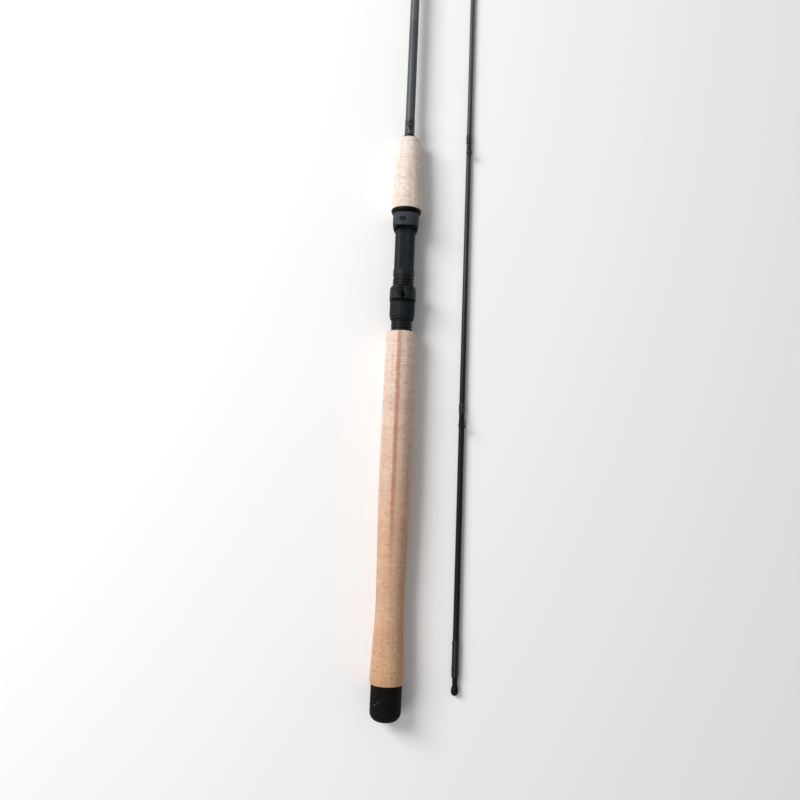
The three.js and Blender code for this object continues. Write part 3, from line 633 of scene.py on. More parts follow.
CORK_RING = 12.7
REAR_SPAN = BUTT.span("rear_grip")
FORE_SPAN = BUTT.span("foregrip")
# Painted shade: where the darker streak runs down the top of the rear grip.
SHADE_STREAK = {"at": -0.9, "half_width": 2.9, "from": REAR_SPAN[0] + 70, "to": REAR_SPAN[0] + 190,
          "depth": 0.75, "color": "D8B195"}
REAR_TONES = [(REAR_SPAN[0], "D0A885"), (REAR_SPAN[0] + 120, "D3AD92"),
              (REAR_SPAN[0] + 230, "E0C6B6"), (REAR_SPAN[1], "EAD6C9")]
FORE_TONES = [(FORE_SPAN[0], "F1E6DD"), (FORE_SPAN[1], "F3E9E1")]
LABEL_END = FORE_SPAN[1] + 116      # where the butt blank's thicker clear coat ends
ARCH_DROP = 0.45                    # how steeply its arched end falls off to the sides
# Painted reflection: the tip blank goes from near-black at its lower end to grey towards its tip, as a light
# beyond the tip end would show.
TIP_PAINTED_REFLECTION = [(60, "0A0B0B"), (230, "121313"), (400, "2E2F31"), (620, "55565A")]

REAR_CORK = cork("cork_rear", REAR_SPAN[0], REAR_TONES, SHADE_STREAK)
FORE_CORK = cork("cork_fore", FORE_SPAN[0], FORE_TONES)
COMPOSITE = composite()
BUTT_GRAPHITE = lacquered("graphite_butt", [(0, "4B5157")], "5C6268", 0.12, LABEL_END)
TIP_GRAPHITE = lacquered("graphite_tip", TIP_PAINTED_REFLECTION, "232527", 0.08)
SEAT_PLASTIC = moulded("seat_plastic", "13191C", "1A2024", 0.55, level=0.14)
PIPE_PLASTIC = moulded("seat_pipe_plastic", "171D21", "20262A", 0.5, level=0.16)
HOOD_PLASTIC = moulded("hood_plastic", "363A42", "424751", 0.62, level=0.12)
MOVING_PLASTIC = moulded("moving_hood_plastic", "141A1D", "1C2225", 0.5, level=0.16)
COLLAR_PLASTIC = moulded("collar_plastic", "040403", "0E0A05", 0.5, 0.01, level=0.1)
PLUG_RUBBER = moulded("plug_rubber", "060606", "0C0C0C", 0.6, 0.03, level=0.2)
THREAD = wound("wound_thread", "060708", "0E1011")
KEEPER_THREAD = wound("keeper_thread", "343A41", "444B54")
STEEL = coated_metal()
CERAMIC = polished()
FOAM = cellular()
CHANCE = np.random.default_rng(19)


# ------------------------ cork and composite

def pits(stations, angles, radius, spots):
    """Open pits in a turned surface: 1 in the middle of each, 0 away from them.
    A spot is a station, a turn in degrees, half a length round the grip and half a width."""
    depth = np.zeros((len(stations), len(angles)))
    for station, degrees, length, width in spots:
        across = signed(angles - math.radians(degrees)) * radius / length
        along = (stations[:, None] - station) / width
        depth = np.maximum(depth, np.exp(-across[None, :] ** 2 - along ** 2))
    return depth


def random_spots(low, high, count):
    return [(CHANCE.uniform(low, high), CHANCE.uniform(-180, 180), CHANCE.uniform(0.6, 2.0),
             CHANCE.uniform(0.16, 0.3)) for _ in range(count)]


def unevenness(rows, around, size):
    """A small random swell for a turned surface, smooth over a few cells."""
    field = CHANCE.normal(0, 1, (rows, around))
    for axis in (0, 1):
        field = sum(np.roll(field, shift, axis) for shift in range(-2, 3)) / 5
    return field * size / field.std()


GRIP_TURNS = 168
SMOOTHING = 13                  # how many millimetres of a grip are averaged into its swell
JOINT_WEAR, JOINT_WIDTH = 0.05, 0.35
PIT_DEPTH, CORK_ROUGHNESS = 0.42, 0.018
REAR_EDGE, REAR_EDGE_LENGTH = 0.35, 0.5


def cork_grip(node, material, least, bore, shoulder, recess, spots):
    """A turned cork grip with worn joints between its rings and open pits in its surface. `least`
    is under its outside and over its bore, which is widened to take the seat from `recess` on.
    `shoulder` is the length of its rounded front end."""
    low, high = BUTT.span(node)
    known = BUTT.outline(node, least)
    end_start = high - shoulder
    rounding = high - shoulder * (1 - np.sin(np.linspace(0, math.pi / 2, 14)))
    stations = np.unique(np.r_[ladder(low, high, 0.3, (low, high), 0.15, 1.2), rounding])
    even = np.arange(low, end_start, 1.0)
    window = np.hanning(SMOOTHING)
    padded = np.pad(np.interp(even, *known), SMOOTHING // 2, mode="reflect", reflect_type="odd")
    even_swell = np.convolve(padded, window / window.sum(), "valid")
    before = stations < end_start
    swell = np.where(before, np.interp(stations, even, even_swell), np.interp(stations, *known))
    reach = ramp(stations, end_start, shoulder)
    face = known[1][-1]
    rounded_end = face + (swell[before][-1] - face) * np.sqrt(1 - reach ** 2)
    swell = np.where(reach > 0, rounded_end, swell)
    swell = swell - REAR_EDGE * (1 - ramp(stations, low, REAR_EDGE_LENGTH)) ** 2
    angles = turns(GRIP_TURNS)
    joints = np.abs(((stations - low) / CORK_RING + 0.5) % 1 - 0.5) * CORK_RING
    worn = JOINT_WEAR * np.exp(-(joints / JOINT_WIDTH) ** 2)
    pit = pits(stations, angles, float(np.median(swell)), spots)
    calm = ramp(high - stations, 0, 3)[:, None]
    uneven = unevenness(len(stations), len(angles), CORK_ROUGHNESS)
    outer = (swell - worn)[:, None] + (uneven - PIT_DEPTH * pit) * calm
    hollow = np.full(len(stations), bore)
    if recess:
        hollow[stations > recess] = least - 0.6
    mesh = shell(rings(stations, outer, angles), rings(stations, hollow, angles))
    values = {"pit": np.r_[(pit * calm).ravel(), np.zeros(pit.size)]}
    place(node, mesh, material, BUTT, sharp=50, values=values)


CAP_TURNS, CAP_ROUGHNESS = 150, 0.03


def butt_cap():
    """The cap at the butt end, turned with a domed end and ground a little rough."""
    low, high = BUTT.span("butt_cap")
    radius = BUTT.outline("butt_cap", 12.0)[1].max()
    dome = quarter((low, 5.0), (low + 8.5, radius), 24, True)
    flat = [(low, r) for r in (PIN, 1.0, 2.0, 3.0, 4.0)]
    side = [(s, radius) for s in np.arange(low + 9.1, high - 0.35, 0.6)]
    bore = BUTT_RADIUS(high) + 0.15
    mouth = [(high - 0.3, radius), (high - 0.08, radius - 0.08), (high, radius - 0.3), (high, bore)]
    floor = BUTT.span("butt_blank")[0] - 0.2
    outline = np.array([*flat, *dome, *side, *mouth, (floor, bore), (floor, PIN)])
    rough = unevenness(len(outline), CAP_TURNS, CAP_ROUGHNESS)
    outward = np.zeros((len(outline), 1))
    outward[len(flat):len(flat) + len(dome) + len(side)] = 1
    rows = rings(outline[:, 0], outline[:, 1:] + rough * outward, turns(CAP_TURNS))
    place("butt_cap", bar(rows), COMPOSITE, BUTT, sharp=50)


# ------------------------ reel seat

SEAT_LOW, SEAT_HIGH = BUTT.span("seat_body")
FIXED = BUTT.span("fixed_hood")
MOVING = BUTT.span("moving_hood")
NUT = BUTT.span("lock_nut")
THREAD_FROM, THREAD_TO = SEAT_LOW + 8.6, SEAT_LOW + 60
BARREL_FROM, PLATFORM_FROM = SEAT_LOW + 62.5, SEAT_LOW + 67.5
CORE, CREST, BARREL, BORE = 9.1, 9.8, 9.7, 6.3
PLATFORM_HEIGHT, SIDE_FLAT = 8.1, 9.2
HOOD_RADIUS, HOOD_BORE = 12.05, 10.1
ROOF_TOP, ROOF_END, ROOF_CROWN = 15.9, 15.6, 2.7
POCKET_HALF, POCKET_TOP = 6.0, 14.0
RIDGE_HALF, RIDGE_FLANK = 0.78, 0.42            # a thread ridge, along the seat
KEYWAY_HALF, KEYWAY_FLOOR, KEYWAY_BEYOND = 1.35, 8.4, 3.5
SEAT_TURNS, HOOD_TURNS, SLOT_TURNS = 200, 208, 7
GROOVE_FROM = 3.2                               # the moving hood's side grooves, from its mouth
EDGE_ROUND, LEAST_WALL = 0.3, 0.25              # of a hood


def seat_body():
    """The pipe: its thread, its round barrel, and the platform that the reel's foot sits on."""
    def plane(height, toward):
        """How far out a flat lies, by how squarely each turn faces it."""
        return np.where(toward > 0.3, height / np.maximum(toward, 0.3), UNCUT)

    angles = turns(SEAT_TURNS)
    stations = np.unique(np.r_[
        ladder(SEAT_LOW, SEAT_HIGH, 1.5, (BARREL_FROM, PLATFORM_FROM, FIXED[0]), 0.1, 1.2),
        np.arange(THREAD_FROM - 1.5, THREAD_TO + 1.5, 0.175)])
    station, angle = np.meshgrid(stations, angles, indexing="ij")
    on_helix = station - THREAD_FROM - angle / FULL_TURN * PITCH
    offset = np.abs((on_helix + PITCH / 2) % PITCH - PITCH / 2)
    ridge = np.clip((RIDGE_HALF - offset) / RIDGE_FLANK, 0, 1)
    ridge = ridge * ridge * (3 - 2 * ridge)
    ends = np.clip(np.minimum(station - THREAD_FROM, THREAD_TO - station) / 1.2 + 0.5, 0, 1)
    threaded = CORE + (CREST - CORE) * ridge * ends
    barrel = CORE + (BARREL - CORE) * round_over((station - BARREL_FROM + 0.5) / 0.5)
    radius = np.where(station > BARREL_FROM - 0.5, barrel, threaded)
    x, z = np.sin(angle), np.cos(angle)
    flat = plane(PLATFORM_HEIGHT - 0.4 * ramp(station, FIXED[0] - 0.8, 0.5), z)
    side = np.where(station < FIXED[0], plane(SIDE_FLAT, np.abs(x)), UNCUT)
    lowered = np.minimum(soft_least(radius, flat, 1.3), soft_least(radius, side, 0.5))
    cut_in = ramp(station, PLATFORM_FROM, 0.8)
    radius = radius + (np.minimum(radius, lowered) - radius) * cut_in
    in_key = (station < BARREL_FROM + KEYWAY_BEYOND) & (np.abs(x * radius) < KEYWAY_HALF)
    radius = np.minimum(radius, np.where(in_key, plane(KEYWAY_FLOOR, -z), UNCUT))
    outer = rings(stations, radius, angles)
    inner = rings(stations, np.full(len(stations), BORE), angles)
    # Painted shade: the thread's valleys are darkened.
    valley_shade = np.where(station < BARREL_FROM, 0.6 * (1 - ridge), 0.0)
    values = {"mark": np.r_[valley_shade.ravel(), np.zeros(valley_shade.size)]}
    mesh = shell(outer, inner)
    place("seat_body", mesh, PIPE_PLASTIC, BUTT, sharp=40, values=values)


def hood_distance(mouth, end, valley):
    """The outside of a hood as a solid: a round band under a higher round roof. `valley` is how
    deep the roof dips along its middle, and where."""
    def distance(x, y, z):
        share = np.clip((y - mouth) / (end - mouth), 0, 1)
        top = ROOF_TOP - (ROOF_TOP - ROOF_END) * share ** 2
        dip = 0.0
        if valley:
            inside = valley["half_width"] - np.abs(x)
            dip = valley["depth"] * ramp(inside, 0, valley["half_width"])
            dip = dip + valley["step"] * ramp(inside, 0, 0.5)
            dip = dip * ramp(np.minimum(y - valley["from"], valley["to"] - y), 0, 1.2)
        across = np.minimum(np.abs(x) / HOOD_RADIUS, 1)
        round_roof = (top - dip) * (1 - across ** ROOF_CROWN) ** (1 / ROOF_CROWN)
        roof = np.maximum(np.where(np.abs(x) < HOOD_RADIUS, z - round_roof, 9), -2 - z)
        return np.minimum(np.hypot(x, z) - HOOD_RADIUS, roof)

    return distance


def pocket_distance(mouth, end, wall):
    """The room inside a hood: the bore round the seat, and the pocket for the reel's foot."""
    toward = math.copysign(1, end - mouth)
    closed = abs(end - mouth) - wall

    def distance(x, y, z):
        back = (y - mouth) * toward
        pocket = bar_distance(x, z, POCKET_HALF, -4, POCKET_TOP, 1.2)
        return np.minimum(np.hypot(x, z) - HOOD_BORE, np.maximum(pocket, back - closed))

    return distance


def slot_turns(levels, slot):
    """Turns at each level of a hood, spread apart to follow the slot's two edges."""
    narrow = slot[0][1]
    edge = math.atan2(narrow, ROOF_TOP)
    outside = np.linspace(edge, FULL_TURN - edge, HOOD_TURNS - SLOT_TURNS + 2)[1:-1]
    angles = signed(np.r_[np.linspace(-edge, edge, SLOT_TURNS), outside])
    half = np.interp(levels, *zip(*slot))
    fall = np.clip((0.8 - np.abs(angles)) / (0.8 - edge), 0, 1)
    return angles[None, :] * (1 + (half[:, None] / narrow - 1) * fall[None, :])


def hood(mouth, end, wall, setback, valley=None, slot=None, groove=None):
    """A moulded hood. Its mouth leans back towards the roof and rounds off at its two shoulders:
    `setback` is how far each goes, and where the shoulders start. `slot` is a list of distances
    from the mouth and half widths. `groove` is a turn, a depth and a half width."""
    toward = math.copysign(1, end - mouth)
    length = abs(end - mouth)
    levels = ladder(0, length, 0.3, (0, length, length - wall), 0.08, 1.1)
    if slot:
        for at, _ in slot:
            levels = np.unique(np.r_[levels[np.abs(levels - at) > 0.06], min(at, length)])
        angles = slot_turns(levels, slot)
    else:
        angles = np.tile(turns(HOOD_TURNS), (len(levels), 1))
    distance = hood_distance(mouth, end, valley)
    rim = cast(distance, np.full(angles.shape, mouth + toward * 2.0), angles)
    x, z = rim * np.sin(angles), rim * np.cos(angles)
    beyond = np.clip((np.abs(x) - setback["from"]) / (HOOD_RADIUS - setback["from"]), 0, 0.999)
    back = setback["lip"] * np.clip(z / ROOF_TOP, 0, 1)
    back = back + setback["side"] * (1 - np.sqrt(1 - beyond ** 2))
    level = levels[:, None]
    stations = mouth + toward * (back + level * (1 - back / length))
    outer = cast(distance, stations, angles)
    inner = cast(pocket_distance(mouth, end, wall), stations, angles)
    nose = setback["nose"] * (1 - ramp(level + back, 0, setback["nose_length"])) ** 1.6
    edges = 2 - round_over(level / 0.5) - round_over((length - level) / 0.4)
    outer = outer - nose - EDGE_ROUND * edges
    if groove:
        off = (np.abs(angles) - groove["turn"]) * HOOD_RADIUS / groove["half_width"]
        outer = outer - groove["depth"] * np.exp(-off ** 4) * ramp(level, GROOVE_FROM, 0.8)
    outer = np.maximum(outer, inner + LEAST_WALL)
    gone = None
    if slot:
        turned_through = np.arange(angles.shape[1]) < SLOT_TURNS - 1
        gone = (levels[1:] <= slot[-1][0] + 1e-6)[:, None] & turned_through
    if toward < 0:
        stations, outer, inner, angles = (a[::-1] for a in (stations, outer, inner, angles))
        gone = gone[::-1] if slot else None
    return rings(stations, outer, angles), rings(stations, inner, angles), gone


def fixed_hood():
    """The hood in front: a sleeve with a plain sunk oval, near-black for a few millimetres from its mouth, and
    painted shade all over its inside.
    """
    mouth, end = FIXED
    setback = {"lip": 4.0, "side": 0.8, "from": 9.5, "nose": 1.9, "nose_length": 6.0}
    outer, inner, _ = hood(mouth, end, 1.7, setback)
    mark = {"side": -2.9, "at": mouth + 9.6, "across": 3.5, "along": 2.1, "depth": 0.22}
    x, y, z = np.moveaxis(outer, -1, 0)
    oval = np.hypot((x - mark["side"]) / mark["across"], (y - mark["at"]) / mark["along"])
    sunk = np.clip((1 - oval) / 0.12, 0, 1) * (z > 10)
    ring = sunk * (1 - 0.55 * np.clip((0.55 - oval) / 0.2, 0, 1))
    outer[..., 2] -= mark["depth"] * ring
    # The hood is near-black from its mouth for 8 mm at the sides and 4 mm on top, and set in a little there.
    black_length, shorter_on_top, inset = 8.0, 4.0, 0.03
    dark_until = mouth + black_length - shorter_on_top * np.clip(outer[..., 2] / ROOF_TOP, 0, 1)
    black = ramp(dark_until - outer[..., 1], 0, 0.3)
    outer[..., [0, 2]] *= (1 - inset * black)[..., None]
    # The inside of the hood is painted shade: marked near-black all over.
    values = {"mark": np.r_[np.maximum(ring, black).ravel(), np.ones(ring.size)]}
    mesh = shell(outer, inner)
    place("fixed_hood", mesh, HOOD_PLASTIC, BUTT, sharp=38, values=values)


def moving_hood():
    """The hood that the nut drives: its roof dips to a sight slot along its middle."""
    end, mouth = MOVING
    length = mouth - end
    setback = {"lip": 0.0, "side": 2.8, "from": 8.4, "nose": 0.5, "nose_length": 2.0}
    valley = {"from": end + 2.0, "to": mouth - 0.9, "depth": 1.1, "step": 0.2, "half_width": 6.0}
    narrow, wide = 0.85, 1.7
    slot = [(0.0, narrow), (length - 6.6, narrow), (length - 5.4, wide), (length - 2.4, wide),
            (length - 1.2, narrow), (length, narrow)]
    side = {"turn": math.radians(64), "depth": 0.6, "half_width": 0.8}
    outer, inner, gone = hood(mouth, end, 2.3, setback, valley, slot, side)
    key = block((-0.9, end, -HOOD_BORE - 0.6), (0.9, end + 6, -8.7), 0.15)
    # Painted shade: the side grooves are darkened, and the whole inside of the hood is marked near-black.
    turn = np.arctan2(outer[..., 0], outer[..., 2])
    off = (np.abs(turn) - side["turn"]) * HOOD_RADIUS / side["half_width"]
    groove_shade = np.exp(-off ** 4) * ramp(mouth - outer[..., 1], GROOVE_FROM, 0.8)
    mesh = together(shell(outer, inner, gone), key)
    values = {"mark": np.r_[groove_shade.ravel(), np.ones(groove_shade.size), np.zeros(len(key[0]))]}
    place("moving_hood", mesh, MOVING_PLASTIC, BUTT, "moving_hood", 38, values)


def lock_nut():
    """The nut behind the moving hood: ribbed, with a plain rim and a tapered rear."""
    low, high = NUT
    stations = ladder(low, high, 0.5, (low, low + 3.6, high - 1.4, high), 0.1, 1.2)
    ribs = 36
    angles = turns(8 * ribs)
    profile = [(low, 10.7), (low + 3.2, 11.2), (low + 3.6, 11.5), (high - 1.5, 11.5),
               (high - 1.3, 11.7), (high, 11.7)]
    ends = np.minimum((stations - low) / 0.5, (high - stations) / 0.4)
    body = np.interp(stations, *zip(*profile)) - 0.4 * (1 - round_over(ends))
    rib_depth, neck_depth, thread_gap = 0.16, 0.22, 0.12
    ribbed = ramp(np.minimum(stations - low - 3.8, high - 2.1 - stations), 0, 0.6)
    valley = np.clip(0.5 - 0.9 * np.cos(angles * ribs), 0, 1) ** 0.8
    neck = neck_depth * np.exp(-((stations - high + 1.7) / 0.25) ** 2)
    outer = (body - neck)[:, None] - rib_depth * ribbed[:, None] * valley[None, :]
    bore = CREST + thread_gap + 0.4 * np.clip(1 - ends, 0, 1) ** 2
    mesh = shell(rings(stations, outer, angles), rings(stations, bore, angles))
    place("lock_nut", mesh, SEAT_PLASTIC, BUTT, "lock_nut", sharp=40)


def sleeve(node, outside, bore, fillet, count, material):
    """A turned ring, from the (station, radius) corners of its outside and its bore."""
    corners = [*outside, (outside[-1][0], bore), (outside[0][0], bore)]
    place(node, turned(corners, fillet, count), material, BUTT)


def collar_ring():
    low, high = BUTT.span("collar_ring")
    outside = [(low, 12.3), (low + 3.3, 13.9), (high, 13.95)]
    sleeve("collar_ring", outside, BARREL + 0.1, 0.5, 120, COLLAR_PLASTIC)


def winding_check():
    low, high = BUTT.span("winding_check")
    outside = [(low, 5.9), (high - 0.5, 5.9), (high, 5.3)]
    bore = BUTT_RADIUS(high) + 0.06
    sleeve("winding_check", outside, bore, 0.35, 96, COLLAR_PLASTIC)


def arbors():
    for node in ("seat_arbor_rear", "seat_arbor_front"):
        low, high = BUTT.span(node)
        outside = [(low, BORE - 0.05), (high, BORE - 0.05)]
        sleeve(node, outside, BUTT_RADIUS(low) + 0.05, 0.3, 64, FOAM)


# ------------------------ blanks and ferrule

BUTT_WALL, COAT_THICKNESS = 1.0, 0.07
SOCKET_DEPTH, SOCKET_BORE = 64.7, 2.12


def butt_blank():
    """The butt section's tube, with a clear-coated zone that ends in an arch on its upper side."""
    low, high = BUTT.span("butt_blank")
    stations = ladder(low, high, 12.0, (LABEL_END,), 0.4, 12.0)
    angles = turns(72)
    radius = BUTT_RADIUS(stations)[:, None] * np.ones(len(angles))
    zone_end = LABEL_END - ARCH_DROP * (radius * np.sin(angles)) ** 2
    coat = np.clip((zone_end - stations[:, None]) / 0.5 + 0.5, 0, 1)
    coat = coat * (stations[:, None] > FORE_SPAN[1]) * np.clip(np.cos(angles) * 4 + 0.5, 0, 1)
    outer = rings(stations, radius + COAT_THICKNESS * coat, angles)
    mesh = shell(outer, rings(stations, radius - BUTT_WALL, angles))
    place("butt_blank", mesh, BUTT_GRAPHITE, BUTT)


def tip_blank():
    """The tip section's tube from its ferrule mouth to the tip-top."""
    low, high = TIP.span("ferrule_socket")[0], TIP.span("tip_blank")[1]
    stations = ladder(low, high, 12.0, (low + 64, ), 1.0, 4.0)
    angles = turns(56)
    outer = TIP_RADIUS(stations)
    inner = np.where(stations < low + SOCKET_DEPTH, SOCKET_BORE, np.maximum(outer - 0.7, 0.35))
    outer = outer - 0.25 * (1 - ramp(stations, low, 0.4)) ** 2
    mesh = shell(rings(stations, outer, angles), rings(stations, inner, angles))
    piece = place("tip_blank", mesh, TIP_GRAPHITE, TIP)
    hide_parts("ferrule_socket")


def spigot():
    low, high = BUTT.span("spigot")
    radius = BUTT.outline("spigot", 1.0)[1].max()
    side = [(station, radius) for station in np.arange(low + 4, high - 2, 4)]
    end = quarter((high - 1.5, radius), (high, 0.6), 8, False)
    mesh = lathed([(low, PIN), (low, radius), *side, *end, (high, PIN)], 48)
    place("spigot", mesh, TIP_GRAPHITE, BUTT)


def ferrule_plug():
    """The plug that keeps the ferrule clean: a stem, a waist and a round head to pull it by."""
    low, high = TIP.span("ferrule_plug")
    head, neck, stem = 3.3, 2.35, 1.95
    waist = low + 8.2
    ball = quarter((low, 0.7), (low + 3.4, head), 10, True)
    taper_in = quarter((low + 4.6, head), (waist, neck), 8, False)
    lip = [(-2.0, neck), (-0.9, neck + 0.15), (-0.35, neck + 0.2), (-0.15, neck + 0.1)]
    shank = [(-0.15, stem), (0.4, stem), (high - 1, 1.85), (high, 1.4), (high, PIN)]
    mesh = lathed([(low, PIN), *ball, *taper_in, *lip, *shank], 48)
    place("ferrule_plug", mesh, PLUG_RUBBER, TIP, "ferrule_plug", sharp=45)


# ------------------------ thread bindings

THREAD_STEP, STRAND_RELIEF = 0.32, 0.035    # from one turn of thread to the next, and its relief
LEAST_THREAD = 0.02


def binding(node, section, radius_at, foot=None, thickness=0.27, waves=()):
    """Thread wound round a blank, drawn tight over a guide's foot if there is one.
    A foot is its half width, its top and the stations it reaches from and to. A wave is a station
    and a height, for a lump of epoxy."""
    low, high = section.span(node)
    stations = np.arange(low, high, THREAD_STEP / 4)
    angles = turns(56)

    def over(clearance, blend):
        def distance(x, y, z):
            solid = np.hypot(x, z) - radius_at(y) - clearance
            if foot is None:
                return solid
            half, top, foot_from, foot_to = foot
            covered = (y > foot_from - 0.2) & (y < foot_to + 0.2)
            bar_there = bar_distance(x, z, half + clearance, -1, top + clearance, 0.3)
            slope = np.maximum(foot_from - y, y - foot_to) * 0.45
            joined = soft_least(solid, bar_there + np.maximum(slope, 0), blend)
            return np.where(covered | (slope < 2), joined, solid)
        return cast(distance, stations, angles, 12.0)

    strands = STRAND_RELIEF * np.abs(np.cos(math.pi * (stations - low) / THREAD_STEP))[:, None]
    swell = thickness * round_over(np.minimum(stations - low, high - stations) / 0.5) + LEAST_THREAD
    for at, height in waves:
        swell = swell + height * np.exp(-((stations - at) / 2.2) ** 2)
    skin = over(0.04, 0.3)
    outer = skin + swell[:, None] + strands
    outer = outer + (over(thickness, 1.6) - over(thickness, 0.3)) * 0.7
    inner = np.minimum(skin, outer - LEAST_THREAD)
    mesh = shell(rings(stations, outer, angles), rings(stations, inner, angles))
    thread = KEEPER_THREAD if node == "keeper_wrap" else THREAD
    place(node, mesh, thread, section, sharp=60)


# ------------------------ line guides

def guide_ring(name, section, size):
    """Places a guide's polished ring, rounded where the line runs, and makes the band that holds
    it. Returns the ring's centre, the band's radius and the band."""
    points = section.points(f"{name}_ring")
    low, high = points.min(0), points.max(0)
    centre, radius = (low + high) / 2, (high[0] - low[0]) / 2
    thickness = size["insert"]
    t = turns(20)[::-1]
    across = thickness / 2 * np.sign(np.cos(t)) * np.abs(np.cos(t)) ** 0.8
    along = size["depth"] / 2 * np.sign(np.sin(t)) * np.abs(np.sin(t)) ** 0.8
    rows = rings(-along, radius - thickness / 2 + across, turns(72))
    mesh = leaned(loop(rows), size["lean"], centre)
    place(f"{name}_ring", mesh, CERAMIC, section, sharp=60)
    outside, inside = radius + SEATING + size["wall"], radius - size["over"]
    half = size["band"] / 2
    corners = [(-half, outside), (half, outside), (half, inside), (-half, inside)]
    band = turned(corners, 0.25 * (outside - inside), 72)
    return centre, outside, leaned(band, size["lean"], centre)


def side_point(centre, radius, side, below, lean):
    """A point on a leaned ring's outside, `below` degrees under its widest point."""
    a = math.radians(below)
    point = Vector((side * radius * math.cos(a), 0, -radius * math.sin(a)))
    return Vector(centre) + Matrix.Rotation(math.radians(lean), 3, "X") @ point


def foot_shape(half, base, top, start, end):
    """A guide's foot: flat under the thread, ground thin and round towards its tip."""
    y = np.linspace(min(start, end), max(start, end), 16)[:, None]
    share = np.clip((end - y) / (end - start), 0, 1)
    width = half * (0.45 + 0.55 * np.minimum(1, share * 2.2))
    height = (top - base) * (0.35 + 0.65 * np.minimum(1, share * 1.6))
    a = turns(16)[::-1]
    across, up = width * np.cos(a), base + height * (0.5 + 0.5 * np.sin(a))
    return bar(np.stack([across, np.broadcast_to(y, across.shape), up], -1))


# A guide's lean in degrees, its wire's radius, its ceramic's depth and thickness, and the wall, the
# depth and the lip of the band round it.
BUTT_GUIDES = {
    "stripper": {"lean": -8, "wire": 0.9, "depth": 2.4, "insert": 1.6, "wall": 0.9,
                 "band": 1.584, "over": 0.03},
    "second_guide": {"lean": -8, "wire": 0.6, "depth": 1.8, "insert": 1.1, "wall": 0.6,
                     "band": 1.188, "over": 0.03}}
RUNNING_GUIDE = {"lean": 38, "wire": 0.38, "depth": 1.0, "insert": 0.5, "wall": 0.4,
                 "band": 0.85, "over": 0.02}
TIP_TOP = {"lean": -30, "wire": 0.38, "depth": 1.1, "insert": 0.5, "wall": 0.4,
           "band": 0.95, "over": 0.02}
SEATING = 0.3
FOOT_SHOWN = 4      # how much of a butt guide's foot shows before its binding


def butt_guide(name, size):
    """A double-foot guide: a leaning ring on two pairs of legs, with a bound foot at each end."""
    centre, ring, band = guide_ring(name, BUTT, size)
    low, high = BUTT.span(f"{name}_frame")
    front = BUTT.span(f"{name}_wrap_front")[0] - FOOT_SHOWN
    rear = BUTT.span(f"{name}_wrap_rear")[1] + FOOT_SHOWN
    base = BUTT_RADIUS(centre[1]) + 0.1
    top = base + size["wire"]
    half = 1.5 * size["wire"]
    root = base + 0.55 * size["wire"]
    pieces = [band, foot_shape(half, base, top, front - 1.0, high),
              foot_shape(half, base, top, rear + 1.0, low)]
    for side in (-1, 1):
        start = side_point(centre, ring, side, 8, size["lean"])
        bend = (side * ring * 0.62, centre[1] + ring * 0.95, root + ring * 0.62)
        near = (side * ring * 0.22, front - 1.2, root + size["wire"] * 1.2)
        line = [start, bend, near, (side * 0.4, front + 2.5, root)]
        pieces.append(wire(line, size["wire"] * 0.92))
        start = side_point(centre, ring, side, 48, size["lean"])
        bend = (side * ring * 0.42, centre[1] - ring * 0.8, root + ring * 0.26)
        pieces.append(wire([start, bend, (side * 0.4, rear - 2.5, root)], size["wire"] * 0.92))
    mesh = fused(together(*pieces), 0.2 * size["wire"] + 0.03)
    place(f"{name}_frame", mesh, STEEL, BUTT, sharp=60)
    binding(f"{name}_wrap_front", BUTT, BUTT_RADIUS, (half, top, front, high))
    binding(f"{name}_wrap_rear", BUTT, BUTT_RADIUS, (half, top, low, rear))


def running_guide(number):
    """A single-foot guide: two legs run from its bound foot back to a ring that leans back."""
    name = f"running_guide_{number}"
    size = RUNNING_GUIDE
    centre, ring, band = guide_ring(name, TIP, size)
    high = TIP.span(f"{name}_frame")[1]
    base = TIP_RADIUS(centre[1]) + 0.06
    half, top, root = 1.8 * size["wire"], base + 0.55, base + 0.4
    start = TIP.span(f"{name}_wrap")[0] - 2
    pieces = [band, foot_shape(half, base, top, start - 0.5, high)]
    for side in (-1, 1):
        begin = side_point(centre, ring - 0.1, side, 6, size["lean"])
        bend = (side * ring * 0.72, centre[1] + ring * 1.9, root + ring * 0.45)
        near = (side * ring * 0.2, start - 0.4, root + 0.25)
        line = [begin, bend, near, (side * 0.25, start + 1.2, root)]
        pieces.append(wire(line, size["wire"], 7, 12))
    place(f"{name}_frame", fused(together(*pieces), 0.1, 3), STEEL, TIP, sharp=60)
    binding(f"{name}_wrap", TIP, TIP_RADIUS, (half, top, start, high))


def tip_top():
    """The last ring, on a tube that caps the end of the blank."""
    centre, ring, band = guide_ring("tip_top", TIP, TIP_TOP)
    low = TIP.span("tip_top_frame")[0]
    high = TIP.span("tip_blank")[1] + 2
    bore = TIP_RADIUS(low) + 0.05
    cap = [(high - 1, PIN), (high - 1, bore), (low, bore), (low, 1.7), (high - 0.6, 1.7),
           (high, 1.1), (high, PIN)]
    pieces = [lathed(cap, 40), band]
    for side in (-1, 1):
        end = side_point(centre, ring, side, 8, TIP_TOP["lean"])
        bend = (side * ring * 0.78, high - 0.3, ring * 0.42)
        pieces.append(wire([(side * 1.3, high - 6, 0.9), bend, end], TIP_TOP["wire"], 8, 12))
    place("tip_top_frame", together(*pieces), STEEL, TIP, sharp=45)
    binding("tip_top_wrap", TIP, TIP_RADIUS)


# ------------------------ hook keeper

